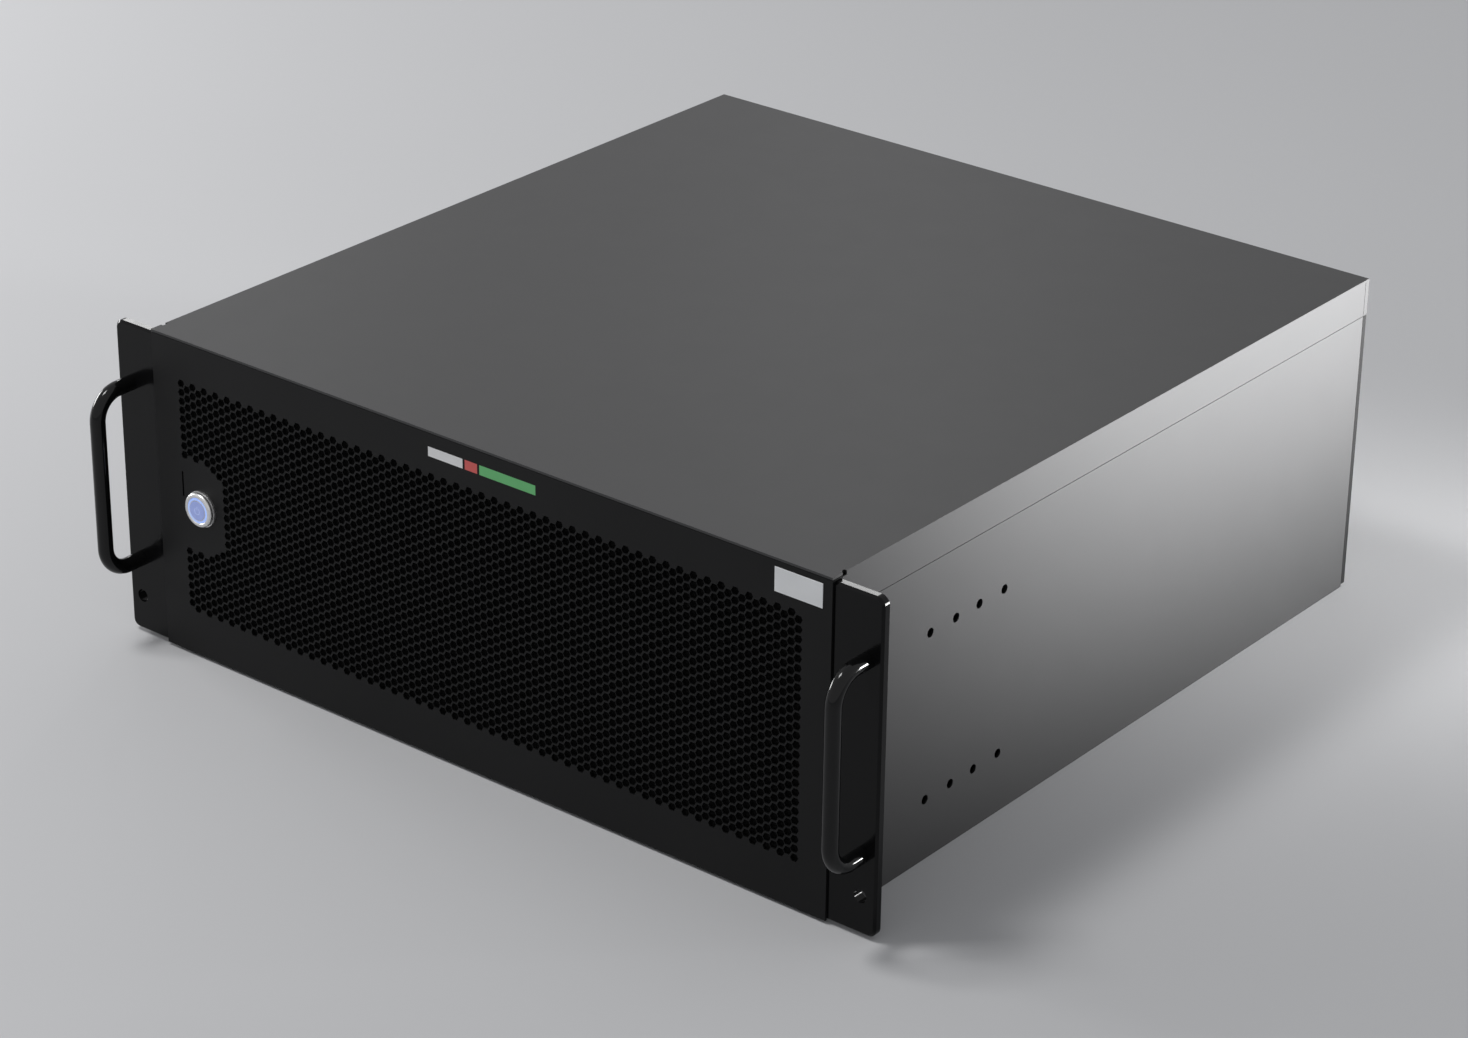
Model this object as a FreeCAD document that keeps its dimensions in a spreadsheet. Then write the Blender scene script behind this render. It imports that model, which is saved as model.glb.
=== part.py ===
"""Rack server, four units high, for graphics cards.

Millimetres, +Z up, +X to the right and +Y to the back when the front panel is looked at. The origin
lies under the middle of the whole server, on the surface that its floor rests on. Sub-parts are drawn
with y = 0 at the face of the front panel, and their placement moves them so that the origin comes to
the middle.
"""
import FreeCAD, Part
import Sketcher
import math
import os
import re

doc = FreeCAD.newDocument("rack_server")
sheet = doc.addObject("Spreadsheet::Sheet", "Sizes")

SIZES = [
    # chassis
    ("body_width", 428.0, "outer width of the chassis"),
    ("body_depth", 450.0, "front panel face to rear panel face"),
    ("body_height", 176.0, "underside of the floor to the top of the cover"),
    ("wall", 1.2, "sheet steel"),
    ("gap", 0.3, "clearance between sheets that slide or close on each other"),
    ("lift", 1.5, "front panel, ears and rear panel above the underside"),
    ("rim_width", 9.0, "inward flange along the top of each side wall"),
    ("flange_height", 19.9, "side flange of the cover"),
    ("strip", 3.3, "rear panel edge seen from the side"),
    ("return_depth", 12.0, "folded foot of the front and rear panels on the floor"),
    # rail holes in the sides
    ("rail_hole", 4.8, "diameter"),
    ("rail_first", 74.3, "first hole from the front panel face"),
    ("rail_pair", 19.75, "distance within a pair"),
    ("rail_step", 38.05, "distance from pair to pair"),
    ("rail_low", 32.5, "height of the lower row"),
    ("rail_high", 119.8, "height of the upper row"),
    # rack ears
    ("ear_width", 27.3, "ear beside the chassis; over both ears it makes 482.6, the rack's width"),
    ("rack_edge", 8.75, "middle of a rack hole from the ear's outer edge; the holes are 465.1 apart"),
    ("rack_hole", 7.0, "diameter"),
    ("rack_hole_height", 21.3, "above the underside"),
    ("ear_thickness", 5.5, "plate"),
    ("ear_drop", 2.2, "top edge below the top of the cover"),
    ("ear_round", 4.5, "radius of the outer corners"),
    ("ear_chamfer", 1.2, "edges of the plate"),
    ("tongue", 11.0, "part of the ear behind the front panel"),
    ("tongue_low", 12.0, "bottom of the tongue"),
    ("tongue_drop", 11.0, "top of the tongue below the top of the cover"),
    ("ear_screw_edge", 16.0, "screws from the ends of the tray's front flange"),
    # handles
    ("handle_bar", 8.0, "diameter of the round bar"),
    ("handle_low", 42.6, "height of the lower leg"),
    ("handle_high", 141.0, "height of the upper leg"),
    ("handle_reach", 22.1, "middle of the grip in front of the panel face"),
    ("handle_bend", 14.4, "radius of the bends"),
    ("screw_bar", 4.0, "screw diameter"),
    ("screw_head", 7.6, "screw head diameter"),
    ("screw_fit", 0.1, "screw hole larger than the screw"),
    ("screw_length", 8.0, "part of a screw in its thread"),
    ("head_height", 2.4, "screw head"),
    # perforation
    ("perf_pitch", 15.0, "distance of neighbouring holes"),
    ("perf_hole", 12.6, "hexagonal hole across its flats"),
    ("perf_left_margin", 17.5, "perforated field from the left side"),
    ("perf_right_margin", 15.5, "perforated field from the right side"),
    ("perf_low", 25.0, "bottom edge of the perforated field"),
    ("perf_drop", 21.5, "top edge of the perforated field below the top of the cover"),
    ("plain_reach", 45.5, "plain area round the button, right edge from the left side"),
    ("plain_below", 22.6, "plain area, bottom edge below the middle of the button"),
    ("plain_above", 22.1, "plain area, top edge above the middle of the button"),
    ("plain_corner", 13.8, "width of the sloping corners of the plain area"),
    ("plain_slope", 31.0, "slope of those corners, in degrees"),
    # power button
    ("button_margin", 30.4, "middle of the button from the left side"),
    ("button_height", 86.5, "middle of the button above the underside"),
    ("barrel", 16.0, "threaded barrel diameter"),
    ("barrel_length", 22.0, "barrel behind the panel face"),
    ("bezel", 19.2, "diameter of the head's foot ring"),
    ("bezel_foot", 1.0, "height of the foot ring"),
    ("bezel_dome", 18.4, "domed head diameter"),
    ("bezel_groove", 0.4, "groove between the foot ring and the dome"),
    ("bezel_round", 1.5, "rounding of the dome"),
    ("bezel_height", 3.7, "head in front of the panel"),
    ("cap", 10.4, "moving cap diameter"),
    ("cap_out", 3.6, "cap in front of the panel"),
    ("cap_travel", 1.8, "travel of the cap"),
    ("cap_fit", 0.05, "cap in its bore, radial"),
    ("ring_inner", 11.4, "lit ring"),
    ("ring_outer", 13.4, "lit ring"),
    ("slit_margin", 17.4, "slit from the left side"),
    ("slit_above", 3.0, "slit, lower end above the middle of the button"),
    ("slit_length", 13.8, "slit, length"),
    ("slit_width", 0.8, "slit"),
    # dust filter
    ("filter_margin", 12.5, "filter frame from the sides"),
    ("filter_low", 20.0, "bottom of the filter frame"),
    ("filter_drop", 17.0, "top of the filter frame below the top of the cover"),
    ("filter_bar", 5.0, "frame bar"),
    ("filter_depth", 6.5, "frame depth"),
    ("foam_depth", 4.5, "filter sheet"),
    # fans
    ("fan_wall_front", 28.5, "front of the fan wall"),
    ("fan_wall_margin", 8.0, "fan wall from the sides"),
    ("fan_wall_drop", 8.0, "top of the fan wall below the top of the cover"),
    ("fan_wall_foot", 24.0, "folded foot and head of the fan wall"),
    ("fan_size", 120.0, "fan frame, width and height"),
    ("fan_depth", 38.0, "fan frame, depth"),
    ("fan_pitch", 124.0, "distance of the fans"),
    ("fan_height", 88.0, "middle of the fans above the underside"),
    ("fan_duct", 115.0, "round opening of the frame"),
    ("fan_tip", 112.6, "diameter over the blade tips"),
    ("fan_hub", 42.0, "rotor hub diameter"),
    ("fan_shaft", 4.0, "shaft diameter"),
    ("blade_chord", 30.0, "fan blade across at its root"),
    ("blade_thick", 2.0, "fan blade"),
    ("rotor_front", 3.0, "rotor behind the front of its frame"),
    ("rotor_back", 1.0, "rotor in front of the bearing plate"),
    ("rotor_cup", 3.0, "wall of the rotor's hub"),
    ("shaft_fit", 0.05, "shaft in its bearing, radial"),
    ("fan_strut", 6.0, "strut width"),
    ("fan_back", 4.0, "depth of the struts and the bearing plate"),
    # motherboard
    ("board_margin", 6.0, "board from the right side of the chassis"),
    ("board_width", 305.0, "motherboard"),
    ("board_length", 256.0, "motherboard"),
    ("board_thick", 1.6, "circuit board"),
    ("standoff", 6.5, "height of the standoffs"),
    ("standoff_flat", 6.0, "across the flats"),
    ("board_edge", 6.0, "standoff from the board's edge"),
    # rear panel zone for slots and ports
    ("zone_margin", 3.0, "recessed zone beyond the board's left edge"),
    ("zone_side", 4.0, "recessed zone from the right side of the chassis"),
    ("zone_low", 4.0, "recessed zone, bottom"),
    ("zone_high", 121.2, "recessed zone, ledge"),
    ("recess", 12.0, "depth of the recessed zone"),
    ("slot_offset", 146.0, "middle of the first slot from the board's left edge"),
    ("slot_pitch", 20.32, "distance of the slots"),
    ("slot_width", 13.0, "slot opening"),
    ("slot_low", 20.0, "slot opening, bottom"),
    ("slot_high", 114.0, "slot opening, top"),
    ("ports_offset", 5.0, "port shield from the board's left edge"),
    ("ports_width", 124.0, "port shield"),
    ("ports_low", 8.0, "port shield, bottom"),
    ("ports_height", 44.5, "port shield"),
    ("video_place", 18.0, "video connector from the shield's left edge"),
    ("video_width", 31.0, "video connector"),
    ("video_height", 12.5, "video connector"),
    ("serial_place", 42.0, "double serial connector from the shield's left edge"),
    ("serial_step", 18.0, "distance of the serial connectors"),
    ("serial_width", 14.0, "double serial connector"),
    ("serial_height", 15.5, "double serial connector"),
    ("network_place", 80.0, "network socket from the shield's left edge"),
    ("network_step", 20.0, "distance of the network sockets"),
    ("network_width", 16.0, "network socket"),
    ("network_height", 13.5, "network socket"),
    ("port_depth", 14.0, "connectors on the board"),
    ("port_wall", 1.0, "connector shell"),
    ("vent_width", 5.0, "vent slot"),
    ("vent_gap", 6.8, "vent slots above the ledge"),
    ("vent_drop", 7.8, "vent slots below the joggle"),
    ("vent_pitch", 14.0, "distance of the vent slots"),
    # processor and memory
    ("processor_offset", 71.0, "middle of the processor from the board's left edge"),
    ("processor_back", 292.0, "middle of the processor from the panel face"),
    ("socket_width", 62.0, "socket frame"),
    ("socket_length", 80.0, "socket frame"),
    ("socket_height", 5.0, "socket frame"),
    ("chip_width", 50.0, "processor"),
    ("chip_length", 68.0, "processor"),
    ("chip_height", 3.5, "processor above its socket"),
    ("sink_width", 84.0, "heatsink"),
    ("sink_length", 108.0, "heatsink"),
    ("sink_base", 7.0, "heatsink base plate"),
    ("sink_height", 88.0, "heatsink"),
    ("fin_thick", 1.0, "fin"),
    ("fin_pitch", 5.0, "distance of the fins"),
    ("memory_length", 133.4, "memory module"),
    ("memory_height", 31.3, "memory module"),
    ("memory_thick", 1.4, "memory module"),
    ("memory_pitch", 9.4, "distance of the memory slots"),
    ("memory_offset", 48.5, "first memory slot from the middle of the processor"),
    ("memory_socket_height", 8.5, "memory slot"),
    ("memory_socket_width", 6.6, "memory slot"),
    ("memory_seat", 5.0, "module in its slot"),
    ("main_plug_place", 59.0, "main power socket from the board's left edge"),
    ("main_plug_width", 52.0, "main power socket"),
    ("side_plug_place", 15.0, "side power socket from the board's left edge"),
    ("side_plug_step", 98.0, "distance of the side power sockets"),
    ("side_plug_width", 20.0, "side power socket"),
    ("plug_edge", 3.0, "power sockets from the board's front edge"),
    ("plug_depth", 10.0, "power socket"),
    ("plug_height", 13.0, "power socket"),
    ("plug_wall", 1.0, "power socket"),
    # graphics cards
    ("card_length", 262.0, "circuit board of a graphics card"),
    ("card_top", 118.0, "top edge of the graphics cards"),
    ("card_thick", 1.6, "circuit board"),
    ("card_slot_height", 11.0, "expansion slot"),
    ("card_slot_width", 7.6, "expansion slot"),
    ("card_slot_length", 89.0, "expansion slot"),
    ("card_slot_back", 47.0, "expansion slot from the card's bracket"),
    ("card_seat", 8.0, "card edge in its slot"),
    ("cooler_width", 34.0, "cooler from its board outwards"),
    ("cooler_wall", 1.5, "cooler cover"),
    ("cooler_fin", 1.0, "cooler fin"),
    ("cooler_fin_pitch", 11.5, "distance of the cooler's fins"),
    ("bracket_thick", 0.9, "card bracket"),
    ("bracket_width", 38.6, "card bracket"),
    ("support_thick", 1.5, "card support bar"),
    ("support_depth", 12.0, "card support bar"),
    # power supplies
    ("psu_margin", 8.0, "left side of the supplies from the left side of the chassis"),
    ("psu_width", 73.5, "supply"),
    ("psu_height", 40.0, "supply"),
    ("psu_length", 185.0, "supply"),
    ("psu_gap", 0.4, "supply in its cage"),
    ("psu_wall", 1.5, "supply case"),
    ("cage_wall", 1.0, "cage sheet"),
    ("cage_margin", 6.0, "cage in front of the supplies"),
    ("pull_reach", 24.0, "pull handle behind the rear panel"),
    ("pull_bar", 4.0, "pull handle section"),
    ("pull_width", 5.0, "pull handle across"),
    ("pull_across", 32.0, "pull handle from the supply's left side"),
    ("inlet_across", 4.0, "mains inlet from the supply's left side"),
    ("inlet_width", 24.0, "mains inlet"),
    ("inlet_low", 5.0, "mains inlet above the supply's underside"),
    ("inlet_height", 18.0, "mains inlet"),
    ("inlet_depth", 16.0, "mains inlet"),
    ("latch_across", 7.0, "release latch from the supply's left side"),
    ("latch_width", 15.0, "release latch"),
    ("latch_height", 34.5, "release latch pivot above the supply's underside"),
    ("latch_thick", 2.6, "release latch"),
    ("latch_front", 12.0, "release latch in front of the rear face"),
    ("latch_reach", 13.0, "release latch behind the rear face"),
    ("latch_pin", 3.0, "latch pivot pin"),
    ("latch_room", 1.2, "room around the latch in its pocket"),
    ("small_fan_across", 51.5, "supply fan from the supply's left side"),
    ("small_duct", 33.0, "supply fan opening"),
    ("small_tip", 31.4, "supply fan over its blade tips"),
    ("small_hub", 14.0, "supply fan hub"),
    ("small_depth", 14.0, "supply fan opening depth"),
    ("small_long", 10.0, "supply fan along its axis"),
    ("small_chord", 8.0, "supply fan blade across at its root"),
    ("small_blade", 1.2, "supply fan blade"),
    ("guard_bar", 1.4, "fan guard bar"),
    # drives
    ("drive_width", 69.9, "drive"),
    ("drive_length", 100.0, "drive"),
    ("drive_height", 9.5, "drive"),
    ("drive_pitch", 14.0, "distance of the drives"),
    ("drive_front", 96.0, "front of the drives from the panel face"),
    ("drive_gap", 0.3, "drive on its rail"),
    # cover screws
    ("knob", 11.0, "thumbscrew head diameter"),
    ("knob_length", 8.0, "thumbscrew head"),
    ("knob_shank", 10.0, "thumbscrew shank inside the rear lip"),
    ("knob_pitch", 160.0, "distance of the thumbscrews"),
    ("notch_long", 3.3, "relief notch at the front corners of the cover"),
    ("notch_deep", 2.1, "relief notch below the top"),
    ("knob_drop", 10.0, "thumbscrews below the top of the cover"),
]

for row, (alias, number, meaning) in enumerate(SIZES, start=1):
    sheet.set(f"A{row}", alias)
    sheet.set(f"B{row}", str(number))
    sheet.set(f"C{row}", meaning)
    sheet.setAlias(f"B{row}", alias)
doc.recompute()

ALIASES = {alias for alias, number, meaning in SIZES}

# Places that follow from the sizes
PLACES = {
    "rack_hole_across": "body_width / 2 + ear_width - rack_edge",
    "ear_top": "body_height - ear_drop",
    "tongue_high": "body_height - tongue_drop",
    "button_across": "button_margin - body_width / 2",
    "plain_right": "plain_reach - body_width / 2",
    "plain_low": "button_height - plain_below",
    "plain_high": "button_height + plain_above",
    "filter_half": "body_width / 2 - filter_margin",
    "filter_high": "body_height - filter_drop",
    "fan_wall_half": "body_width / 2 - fan_wall_margin",
    "fan_wall_top": "body_height - fan_wall_drop",
    "knob_height": "body_height - knob_drop",
    "vent_low": "zone_high + vent_gap",
    "vent_high": "body_height - flange_height - gap - vent_drop",
    "psu_left": "psu_margin - body_width / 2",
    "board_left": "body_width / 2 - board_margin - board_width",
    "zone_left": "board_left - zone_margin",
    "zone_right": "body_width / 2 - zone_side",
    "slot_first": "board_left + slot_offset",
    "ports_left": "board_left + ports_offset",
    "processor_across": "board_left + processor_offset",
}
SUBPARTS = []

# Positions that several sub-parts share, each an expression of the sheet
HALF = "body_width / 2"
MIDDLE = "(body_depth + pull_reach - handle_reach - handle_bar / 2) / 2"
INNER = "body_width / 2 - wall"
SEAM = "body_height - flange_height"
SHELF = "body_height - flange_height - gap"
STEP_IN = "body_width / 2 - wall - gap"
RIM = "body_height - wall - gap"
EAR_BACK = "wall + ear_thickness"
TRAY_BACK = "body_depth - strip"
REAR_INNER = "body_depth - wall"
ZONE_BACK = "body_depth - recess"
ZONE_FACE = "body_depth - recess - wall"
BOARD_TOP = "wall + standoff + board_thick"
BOARD_BACK = "body_depth - recess - wall - 2 * gap"
FAN_FRONT = "fan_wall_front + wall"
FAN_BACK = "fan_wall_front + wall + fan_depth"
CARD_BACK = "body_depth - recess - wall - bracket_thick"
SLOT_TOP = f"{BOARD_TOP} + card_slot_height"
PSU_FRONT = "body_depth - psu_length"
CAGE_BACK = "body_depth - wall"
SLOTS = 8
CARDS = 4
VENTS_EACH_SIDE = 12
CAGE_LOW = "wall"
SUPPLY_HEIGHTS = {"lower": "wall + cage_wall + psu_gap",
                  "upper": "wall + 2 * cage_wall + 3 * psu_gap + psu_height"}
CAGE_TOP = "wall + 2 * cage_wall + 4 * psu_gap + 2 * psu_height"
Y_AXIS = FreeCAD.Rotation(FreeCAD.Vector(1, 0, 0), -90)
X_AXIS = FreeCAD.Rotation(FreeCAD.Vector(0, 1, 0), 90)
Z_AXIS = FreeCAD.Rotation()
OUTWARDS = FreeCAD.Rotation(FreeCAD.Vector(1, 0, 0), 90)


def bound(text):
    """The expression with each size's name turned into a reference to the sheet."""
    def refer(match):
        word = match.group(0)
        if word in PLACES:
            return "(" + bound(PLACES[word]) + ")"
        return "Sizes." + word if word in ALIASES else word
    return re.sub(r"[A-Za-z_]\w*", refer, str(text))


def value(alias):
    """The number that a size has in the sheet."""
    return float(sheet.get(alias))


def place(thing, x="0", y="0", z="0", turn=Z_AXIS):
    thing.Placement = FreeCAD.Placement(FreeCAD.Vector(), turn)
    for axis, position in zip("xyz", (x, y, z)):
        thing.setExpression(f".Placement.Base.{axis}", bound(position))
    return thing


def block(name, x, y, z):
    """A block between two positions along each axis."""
    box = doc.addObject("Part::Box", name)
    place(box, x[0], y[0], z[0])
    for side, (low, high) in zip(("Length", "Width", "Height"), (x, y, z)):
        box.setExpression(side, bound(f"({high}) - ({low})"))
    return box


def rod(name, diameter, start, length, turn=Y_AXIS):
    """A cylinder from a point along the axis that turn gives."""
    cylinder = doc.addObject("Part::Cylinder", name)
    place(cylinder, *start, turn=turn)
    cylinder.setExpression("Radius", bound(f"({diameter}) / 2"))
    cylinder.setExpression("Height", bound(length))
    return cylinder


def prism(name, flats, start, length, turn=Z_AXIS):
    """A hexagonal bar, given across its flats."""
    bar = doc.addObject("Part::Prism", name)
    bar.Polygon = 6
    place(bar, *start, turn=turn)
    bar.setExpression("Circumradius", bound(f"({flats}) / sqrt(3)"))
    bar.setExpression("Height", bound(length))
    return bar


def group(name, pieces):
    """Separate solids that belong together."""
    compound = doc.addObject("Part::Compound", name)
    compound.Links = pieces
    return compound


def join(name, pieces):
    fused = doc.addObject("Part::MultiFuse", name)
    fused.Shapes = pieces
    fused.Refine = True
    return fused


def cut(name, base, tools):
    result = doc.addObject("Part::Cut", name)
    result.Base = base
    result.Tool = tools[0] if len(tools) == 1 else join(name + "_openings", tools)
    result.Refine = True
    return result


def subpart(label, thing, y="0"):
    """Names a finished piece and moves it from the panel's frame to the server's middle."""
    thing.Label = label
    thing.setExpression(".Placement.Base.y", bound(f"{y} - ({MIDDLE})"))
    SUBPARTS.append(thing)
    return thing


def formed(label, shape, x="0", y="0", z="0"):
    """A piece whose shape is worked out by formula, set at its place."""
    feature = doc.addObject("Part::Feature", label + "_form")
    feature.Shape = shape
    place(feature, x, y, z)
    return subpart(label, feature, y)


def new_body(name):
    return doc.addObject("PartDesign::Body", name)


def sketch(body, name, plane, loops=(), circles=(), offset="0"):
    """A sketch of closed outlines and circles; every corner and centre is held by its two distances."""
    drawing = body.newObject("Sketcher::SketchObject", name)
    origin_plane = next(f for f in body.Origin.OriginFeatures if f.Role == plane)
    drawing.AttachmentSupport = [(origin_plane, "")]
    drawing.MapMode = "FlatFace"
    drawing.setExpression(".AttachmentOffset.Base.z", bound(offset))

    def hold(kind, geometry, point, expression):
        number = drawing.addConstraint(Sketcher.Constraint(kind, -1, 1, geometry, point, 1.0))
        drawing.setExpression(f"Constraints[{number}]", bound(expression))

    for corners in loops:
        first = drawing.GeometryCount
        spots = [FreeCAD.Vector(i, i * i, 0) for i in range(len(corners))]
        for start, end in zip(spots, spots[1:] + spots[:1]):
            drawing.addGeometry(Part.LineSegment(start, end), False)
        for i, (across, up) in enumerate(corners):
            after = first + (i + 1) % len(corners)
            drawing.addConstraint(Sketcher.Constraint("Coincident", first + i, 2, after, 1))
            hold("DistanceX", first + i, 1, across)
            hold("DistanceY", first + i, 1, up)
    for across, up, diameter in circles:
        circle = Part.Circle(FreeCAD.Vector(1, 1, 0), FreeCAD.Vector(0, 0, 1), 1)
        number = drawing.addGeometry(circle, False)
        hold("DistanceX", number, 3, across)
        hold("DistanceY", number, 3, up)
        size = drawing.addConstraint(Sketcher.Constraint("Diameter", number, 1.0))
        drawing.setExpression(f"Constraints[{size}]", bound(diameter))
    return drawing


def pad(body, profile, length, towards_back=False):
    feature = body.newObject("PartDesign::Pad", profile.Name + "_pad")
    feature.Profile = profile
    feature.Reversed = towards_back
    feature.setExpression("Length", bound(length))
    doc.recompute()
    return feature


def pocket_through(body, profile):
    feature = body.newObject("PartDesign::Pocket", profile.Name + "_pocket")
    feature.Profile = profile
    feature.Type = "ThroughAll"
    feature.Midplane = True
    doc.recompute()
    return feature


def revolve(body, profile):
    """A full turn of a profile about the body's vertical axis."""
    feature = body.newObject("PartDesign::Revolution", profile.Name + "_turned")
    feature.Profile = profile
    feature.ReferenceAxis = (profile, ["V_Axis"])
    feature.Angle = 360
    doc.recompute()
    return feature


def edge_names(shape, wanted):
    """Names of the edges whose middle passes a test."""
    found = []
    for number, edge in enumerate(shape.Edges, start=1):
        middle = edge.valueAt((edge.FirstParameter + edge.LastParameter) / 2)
        if wanted(edge, middle):
            found.append(f"Edge{number}")
    return found


def rectangle(x0, x1, z0, z1):
    return [(x0, z0), (x1, z0), (x1, z1), (x0, z1)]


def both_sides(corners):
    """An outline that is the same on the left, from its right half drawn bottom to top."""
    return corners + [(f"-({x})", z) for x, z in reversed(corners)]


# Chassis

def chassis_tray():
    """Floor and side walls, folded from one sheet, with a joggle at the seam and a rim along the top."""
    body = new_body("tray")
    outside = [(HALF, "0"), (HALF, SHELF), (STEP_IN, SHELF), (STEP_IN, RIM),
               (f"{STEP_IN} - rim_width", RIM), (f"{STEP_IN} - rim_width", f"{RIM} - wall"),
               (f"{STEP_IN} - wall", f"{RIM} - wall"), (f"{STEP_IN} - wall", f"{SHELF} - wall"),
               (INNER, f"{SHELF} - wall"), (INNER, "wall")]
    profile = sketch(body, "tray_section", "XZ_Plane", [both_sides(outside)], offset=f"-({EAR_BACK})")
    pad(body, profile, f"{TRAY_BACK} - ({EAR_BACK})", towards_back=True)
    flange = rectangle(f"{HALF} - tongue", INNER, "tongue_low", "tongue_high - tongue_low")
    mirrored = [(f"-({x})", z) for x, z in flange]
    holes = [(f"{side}({HALF} - tongue / 2 - wall / 2)", height, "screw_bar + screw_fit")
             for side in ("", "-") for height in EAR_SCREW_HEIGHTS]
    front = sketch(body, "tray_front_flange", "XZ_Plane", [flange, mirrored], holes,
                   offset=f"-({EAR_BACK})")
    pad(body, front, "wall", towards_back=True)
    rails = [(f"rail_first + {step} * rail_step + {one} * rail_pair", height, "rail_hole")
             for height in ("rail_low", "rail_high") for step in (0, 1) for one in (0, 1)]
    pocket_through(body, sketch(body, "tray_rail_holes", "YZ_Plane", circles=rails))
    subpart("chassis_tray", body)


EAR_SCREW_HEIGHTS = ("tongue_low + ear_screw_edge", "tongue_high - tongue_low - ear_screw_edge")


def rear_panel():
    """Rear wall: edge strips, a foot on the floor, a joggled top and a recessed zone for slots and ports."""
    across = (f"-({HALF})", HALF)
    tall = ("lift", SHELF)
    sheets = [block("rear_plate", across, (REAR_INNER, "body_depth"), tall)]
    for side, (low, high) in (("left", (f"-({HALF})", f"-({INNER})")), ("right", (INNER, HALF))):
        sheets.append(block(f"rear_strip_{side}", (low, high), (f"{TRAY_BACK} + gap", "body_depth"), tall))
    foot = ("psu_left + psu_width + 3 * cage_wall", f"{INNER} - gap")
    sheets.append(block("rear_foot", foot, (f"{TRAY_BACK} - return_depth", "body_depth"),
                        ("lift", "lift + wall")))
    top_half = f"{STEP_IN} - wall - gap"
    upper = (f"-({top_half})", top_half)
    joggle = (f"{REAR_INNER} - gap - wall", "body_depth")
    sheets.append(block("rear_shelf", upper, joggle, (f"{SHELF} - wall", SHELF)))
    sheets.append(block("rear_upper", upper, (joggle[0], f"{REAR_INNER} - gap"), (f"{SHELF} - wall", RIM)))
    whole = join("rear_sheets", sheets)

    zone = block("zone_window", ("zone_left", "zone_right"), (ZONE_FACE, "body_depth + wall"),
                 ("zone_low", "zone_high - wall"))
    opened = cut("rear_opened", whole, [zone])
    outer_zone = block("zone_box", ("zone_left - wall", "zone_right + wall"), (ZONE_FACE, "body_depth"),
                       ("zone_low - wall", "zone_high"))
    inner_zone = block("zone_hollow", ("zone_left", "zone_right"), (ZONE_BACK, "body_depth + wall"),
                       ("zone_low", "zone_high - wall"))
    pan = cut("zone_pan", outer_zone, [inner_zone])
    panel = join("rear_with_zone", [opened, pan])

    openings = [block("psu_window", ("psu_left - psu_gap", "psu_left + psu_width + psu_gap"),
                      (f"{REAR_INNER} - wall", "body_depth + wall"), (f"{CAGE_LOW} + cage_wall", CAGE_TOP))]
    through = (f"{ZONE_FACE} - wall", f"{ZONE_BACK} + wall")
    openings.append(block("port_window", ("ports_left", "ports_left + ports_width"), through,
                          ("ports_low", "ports_low + ports_height")))
    for number in range(SLOTS):
        middle = f"slot_first + {number} * slot_pitch"
        openings.append(block(f"slot_window_{number}",
                              (f"{middle} - slot_width / 2", f"{middle} + slot_width / 2"),
                              through, ("slot_low", "slot_high")))
    for number in range(-VENTS_EACH_SIDE, VENTS_EACH_SIDE + 1):
        middle = f"{number} * vent_pitch"
        openings.append(block(f"vent_{number + VENTS_EACH_SIDE}",
                              (f"{middle} - vent_width / 2", f"{middle} + vent_width / 2"),
                              (f"{REAR_INNER} - wall", "body_depth + wall"), ("vent_low", "vent_high")))
    for number in (-1, 0, 1):
        openings.append(rod(f"knob_hole_{number + 1}", "screw_bar + 2 * gap",
                            (f"{number} * knob_pitch", f"{REAR_INNER} - 4 * wall", "knob_height"),
                            "6 * wall"))
    subpart("rear_panel", cut("rear_finished", panel, openings))


def hexagon(x, z, y, flats):
    """A hexagon in an upright plane, flat at its top and bottom."""
    radius = flats / math.sqrt(3)
    corners = [FreeCAD.Vector(x + radius * math.cos(math.radians(60 * k)), y,
                              z + radius * math.sin(math.radians(60 * k))) for k in range(6)]
    return Part.makePolygon(corners + corners[:1])


def in_plain_area(x, z):
    """Whether a perforation at this place would reach the plain area round the button."""
    reach = value("perf_hole") / math.sqrt(3)
    right = value("plain_reach") - value("body_width") / 2 + reach
    rise = max(0, x - (right - value("plain_corner"))) * math.tan(math.radians(value("plain_slope")))
    low = value("button_height") - value("plain_below") - reach + rise
    high = value("button_height") + value("plain_above") + reach - rise
    return x < right and low < z < high


def lattice():
    """Centres of the perforation: upright columns, each second one half a pitch lower."""
    pitch = value("perf_pitch")
    column = pitch * math.sqrt(3) / 2
    margin = value("perf_hole") / math.sqrt(3)
    first = value("perf_left_margin") - value("body_width") / 2
    last = value("body_width") / 2 - value("perf_right_margin")
    top = value("body_height") - value("perf_drop")
    width = last - first - 2 * margin
    height = top - value("perf_low") - value("perf_hole")
    columns = int(width // column) + 1
    rows = int((height - pitch / 2) // pitch) + 1
    left = (first + last - (columns - 1) * column) / 2
    bottom = (top + value("perf_low") - (rows - 0.5) * pitch) / 2
    for i in range(columns):
        for k in range(rows):
            x = left + i * column
            z = bottom + (k + (0.5 if i % 2 else 0)) * pitch
            if not in_plain_area(x, z):
                yield x, z


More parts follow.
